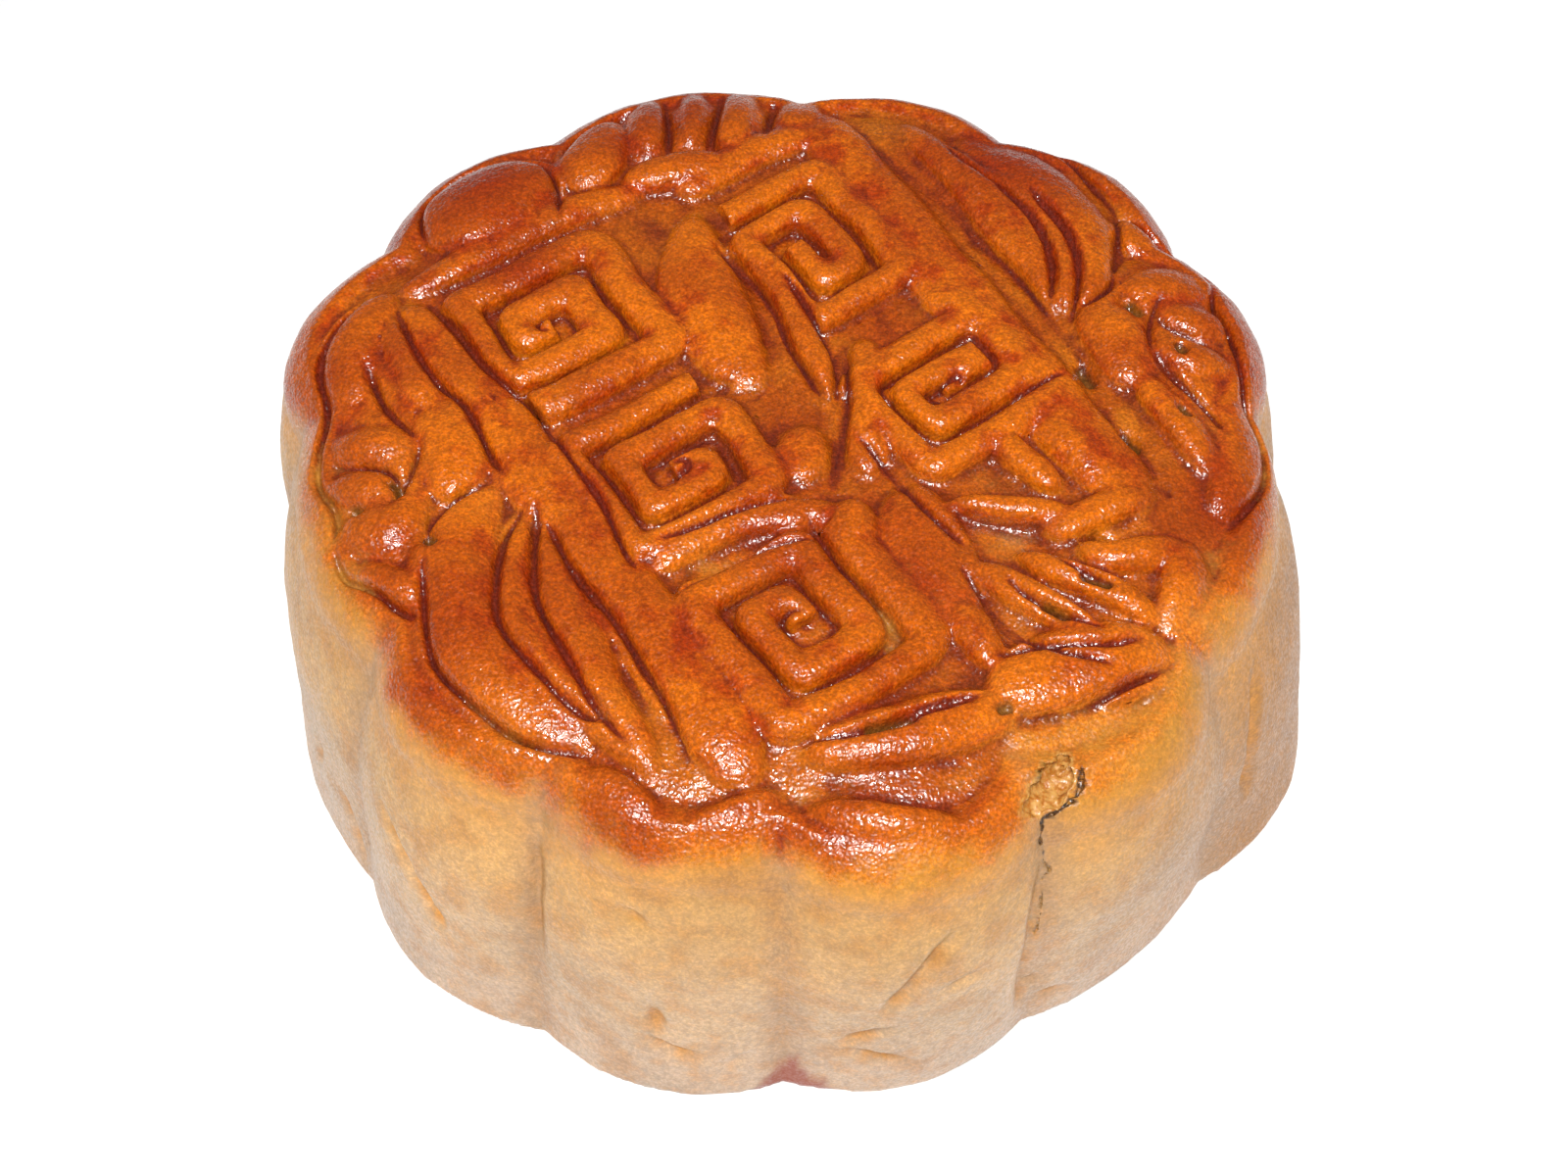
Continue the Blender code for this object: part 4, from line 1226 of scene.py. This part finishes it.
def crust_grain(n, place, part):
    """Soft dimples in the glaze and dry fibres on the wall, as one height for the bump."""
    fibre_place = n.add("Mapping")
    fibre_place.inputs["Scale"].default_value = (1, 1, 0.35)
    n.wire(place, fibre_place.inputs["Vector"])
    fibre = n.noise(fibre_place.outputs[0], 0.5 * MM, 3, 0.6)
    sparkle = n.noise(place, 0.22 * MM, 0)
    dimple = n.noise(place, 0.7 * MM, 1)
    glazed = n.plus(n.times(sparkle, 0.8), n.times(dimple, 1.3))
    dry = n.plus(n.times(fibre, 1.2), n.times(part["medium"], 0.5))
    height = n.add("Mix", data_type="FLOAT")
    for value, socket in ((part["glazed"], 0), (dry, 2), (glazed, 3)):
        n.wire(value, height.inputs[socket])
    return height.outputs[0]


def crust():
    """The whole skin's material, from dry wall to shiny top."""
    n = Nodes("baked_crust")
    place = n.add("TexCoord").outputs["Object"]
    part = shares(n, place)
    n.wire(crust_colour(n, place, part), n.shader.inputs["Base Color"])
    gloss = n.span(n.noise(place, 0.25 * MM, 1), 0.36, 0.62, 0.12, 0.36)
    matte = n.times(n.maths("SUBTRACT", 1.0, part["glazed"]), 0.18)
    n.wire(n.plus(gloss, matte), n.shader.inputs["Roughness"])
    bump = n.add("Bump")
    bump.inputs["Strength"].default_value = 0.8
    bump.inputs["Distance"].default_value = BUMP_HEIGHT
    n.wire(crust_grain(n, place, part), bump.inputs["Height"])
    n.wire(bump.outputs[0], n.shader.inputs["Normal"])
    n.shader.inputs["Specular IOR Level"].default_value = 0.55
    n.shader.inputs["Subsurface Weight"].default_value = 0.12
    n.shader.inputs["Subsurface Radius"].default_value = (1.0, 0.35, 0.12)
    n.shader.inputs["Subsurface Scale"].default_value = 1.2 * MM
    return n.material


cake.data.materials.clear()
cake.data.materials.append(crust())
cake.data.shade_smooth()
print("crust material on", len(cake.data.polygons), "faces")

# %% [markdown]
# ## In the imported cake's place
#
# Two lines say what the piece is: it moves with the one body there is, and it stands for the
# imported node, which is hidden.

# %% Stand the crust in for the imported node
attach(cake, "root")
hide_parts("mooncake")
print(cake.name, "rides on root and stands for mooncake")

# %% [markdown]
# ## Floor, light and camera
#
# The cake stands on a plain pale sheet. A small soft light near the camera, a little above and
# to its left, gives the glints on the slopes that face the viewer. A wide faint one behind it,
# the halo, gives each glint a soft edge. The two at the sides only fill the shade: they aren't
# mirrored in the glaze. A dim sky does the rest.

# %% Floor and soft light
FLOOR_SIDE = 3.0
PAPER_WHITE = (0.86, 0.86, 0.86, 1)
SKY_STRENGTH = 0.12

bpy.ops.object.select_all(action="DESELECT")
bpy.ops.mesh.primitive_plane_add(size=FLOOR_SIDE, location=(0, 0, 0))
floor = bpy.context.object
floor.name = "pale_floor"
paper = Nodes("pale_paper")
paper.shader.inputs["Base Color"].default_value = PAPER_WHITE
paper.shader.inputs["Roughness"].default_value = 0.9
floor.data.materials.append(paper.material)
floor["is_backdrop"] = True

sky = bpy.data.worlds.new("soft_sky")
sky.use_nodes = True
sky.node_tree.nodes["Background"].inputs["Color"].default_value = (1, 1, 1, 1)
sky.node_tree.nodes["Background"].inputs["Strength"].default_value = SKY_STRENGTH
bpy.context.scene.world = sky


def soft_box(name, place, size, power, mirrored=True):
    """A round soft light of a size in metres and a power in watts, turned to the cake."""
    bpy.ops.object.light_add(type="AREA", location=place)
    light = bpy.context.object
    light.name = name
    light.data.shape = "DISK"
    light.data.size = size
    light.data.energy = power
    light.visible_glossy = mirrored
    away = Vector(place) - Vector((0, 0, HEIGHT / 2))
    light.rotation_euler = away.to_track_quat("Z", "Y").to_euler()


soft_box("key", (-0.025, -0.20, 0.40), 0.10, 2.25)
soft_box("halo", (-0.027, -0.21, 0.42), 0.30, 0.75)
soft_box("left", (-0.40, 0.02, 0.22), 0.30, 0.15, mirrored=False)
soft_box("right", (0.40, 0.06, 0.24), 0.30, 0.5, mirrored=False)

# %% [markdown]
# A cake on a table is seen from above and close by, so the near wall shows and the far side
# looks small. The camera looks along a line that rises from the front, and the lens is shifted
# rather than turned to put the cake in the middle of the frame.

# %% Camera
CAMERA_ELEVATION = 54.86
CAMERA_DISTANCE = 4.83 * BELLY_RADIUS
CAMERA_LENS = 52.05
CAMERA_ROLL = 0.5
CAMERA_SHIFT = (-0.0042, 0.0396)
CAMERA_OFFSET = (-0.62 * MM, 0.48 * MM, 0.0)
SENSOR_WIDTH = 36

rise = math.radians(CAMERA_ELEVATION)
back = Vector((0, -math.cos(rise), math.sin(rise)))
bpy.ops.object.camera_add(location=back * CAMERA_DISTANCE + Vector(CAMERA_OFFSET))
camera = bpy.context.object
camera.rotation_euler = back.to_track_quat("Z", "Y").to_euler()
camera.rotation_euler.rotate_axis("Z", math.radians(-CAMERA_ROLL))
camera.data.lens = CAMERA_LENS
camera.data.sensor_width = SENSOR_WIDTH
camera.data.shift_x, camera.data.shift_y = CAMERA_SHIFT
camera.data.clip_start = 0.01
bpy.context.scene.camera = camera
bpy.context.scene.view_settings.view_transform = "Standard"
print("camera", round(CAMERA_DISTANCE * 1000), "mm away")

# %% [markdown]
# ## Check the size and finish
#
# The dressed cake has to fill the imported cake's box and no more, so both boxes are printed.

# %% Print both boxes
boxes = {"cad": [list(corner) for corner in cad_box], "visual": [list(corner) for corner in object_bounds()]}
for name, box in boxes.items():
    print(name, "box, millimetres:", [[round(1000 * side, 1) for side in corner] for corner in box])
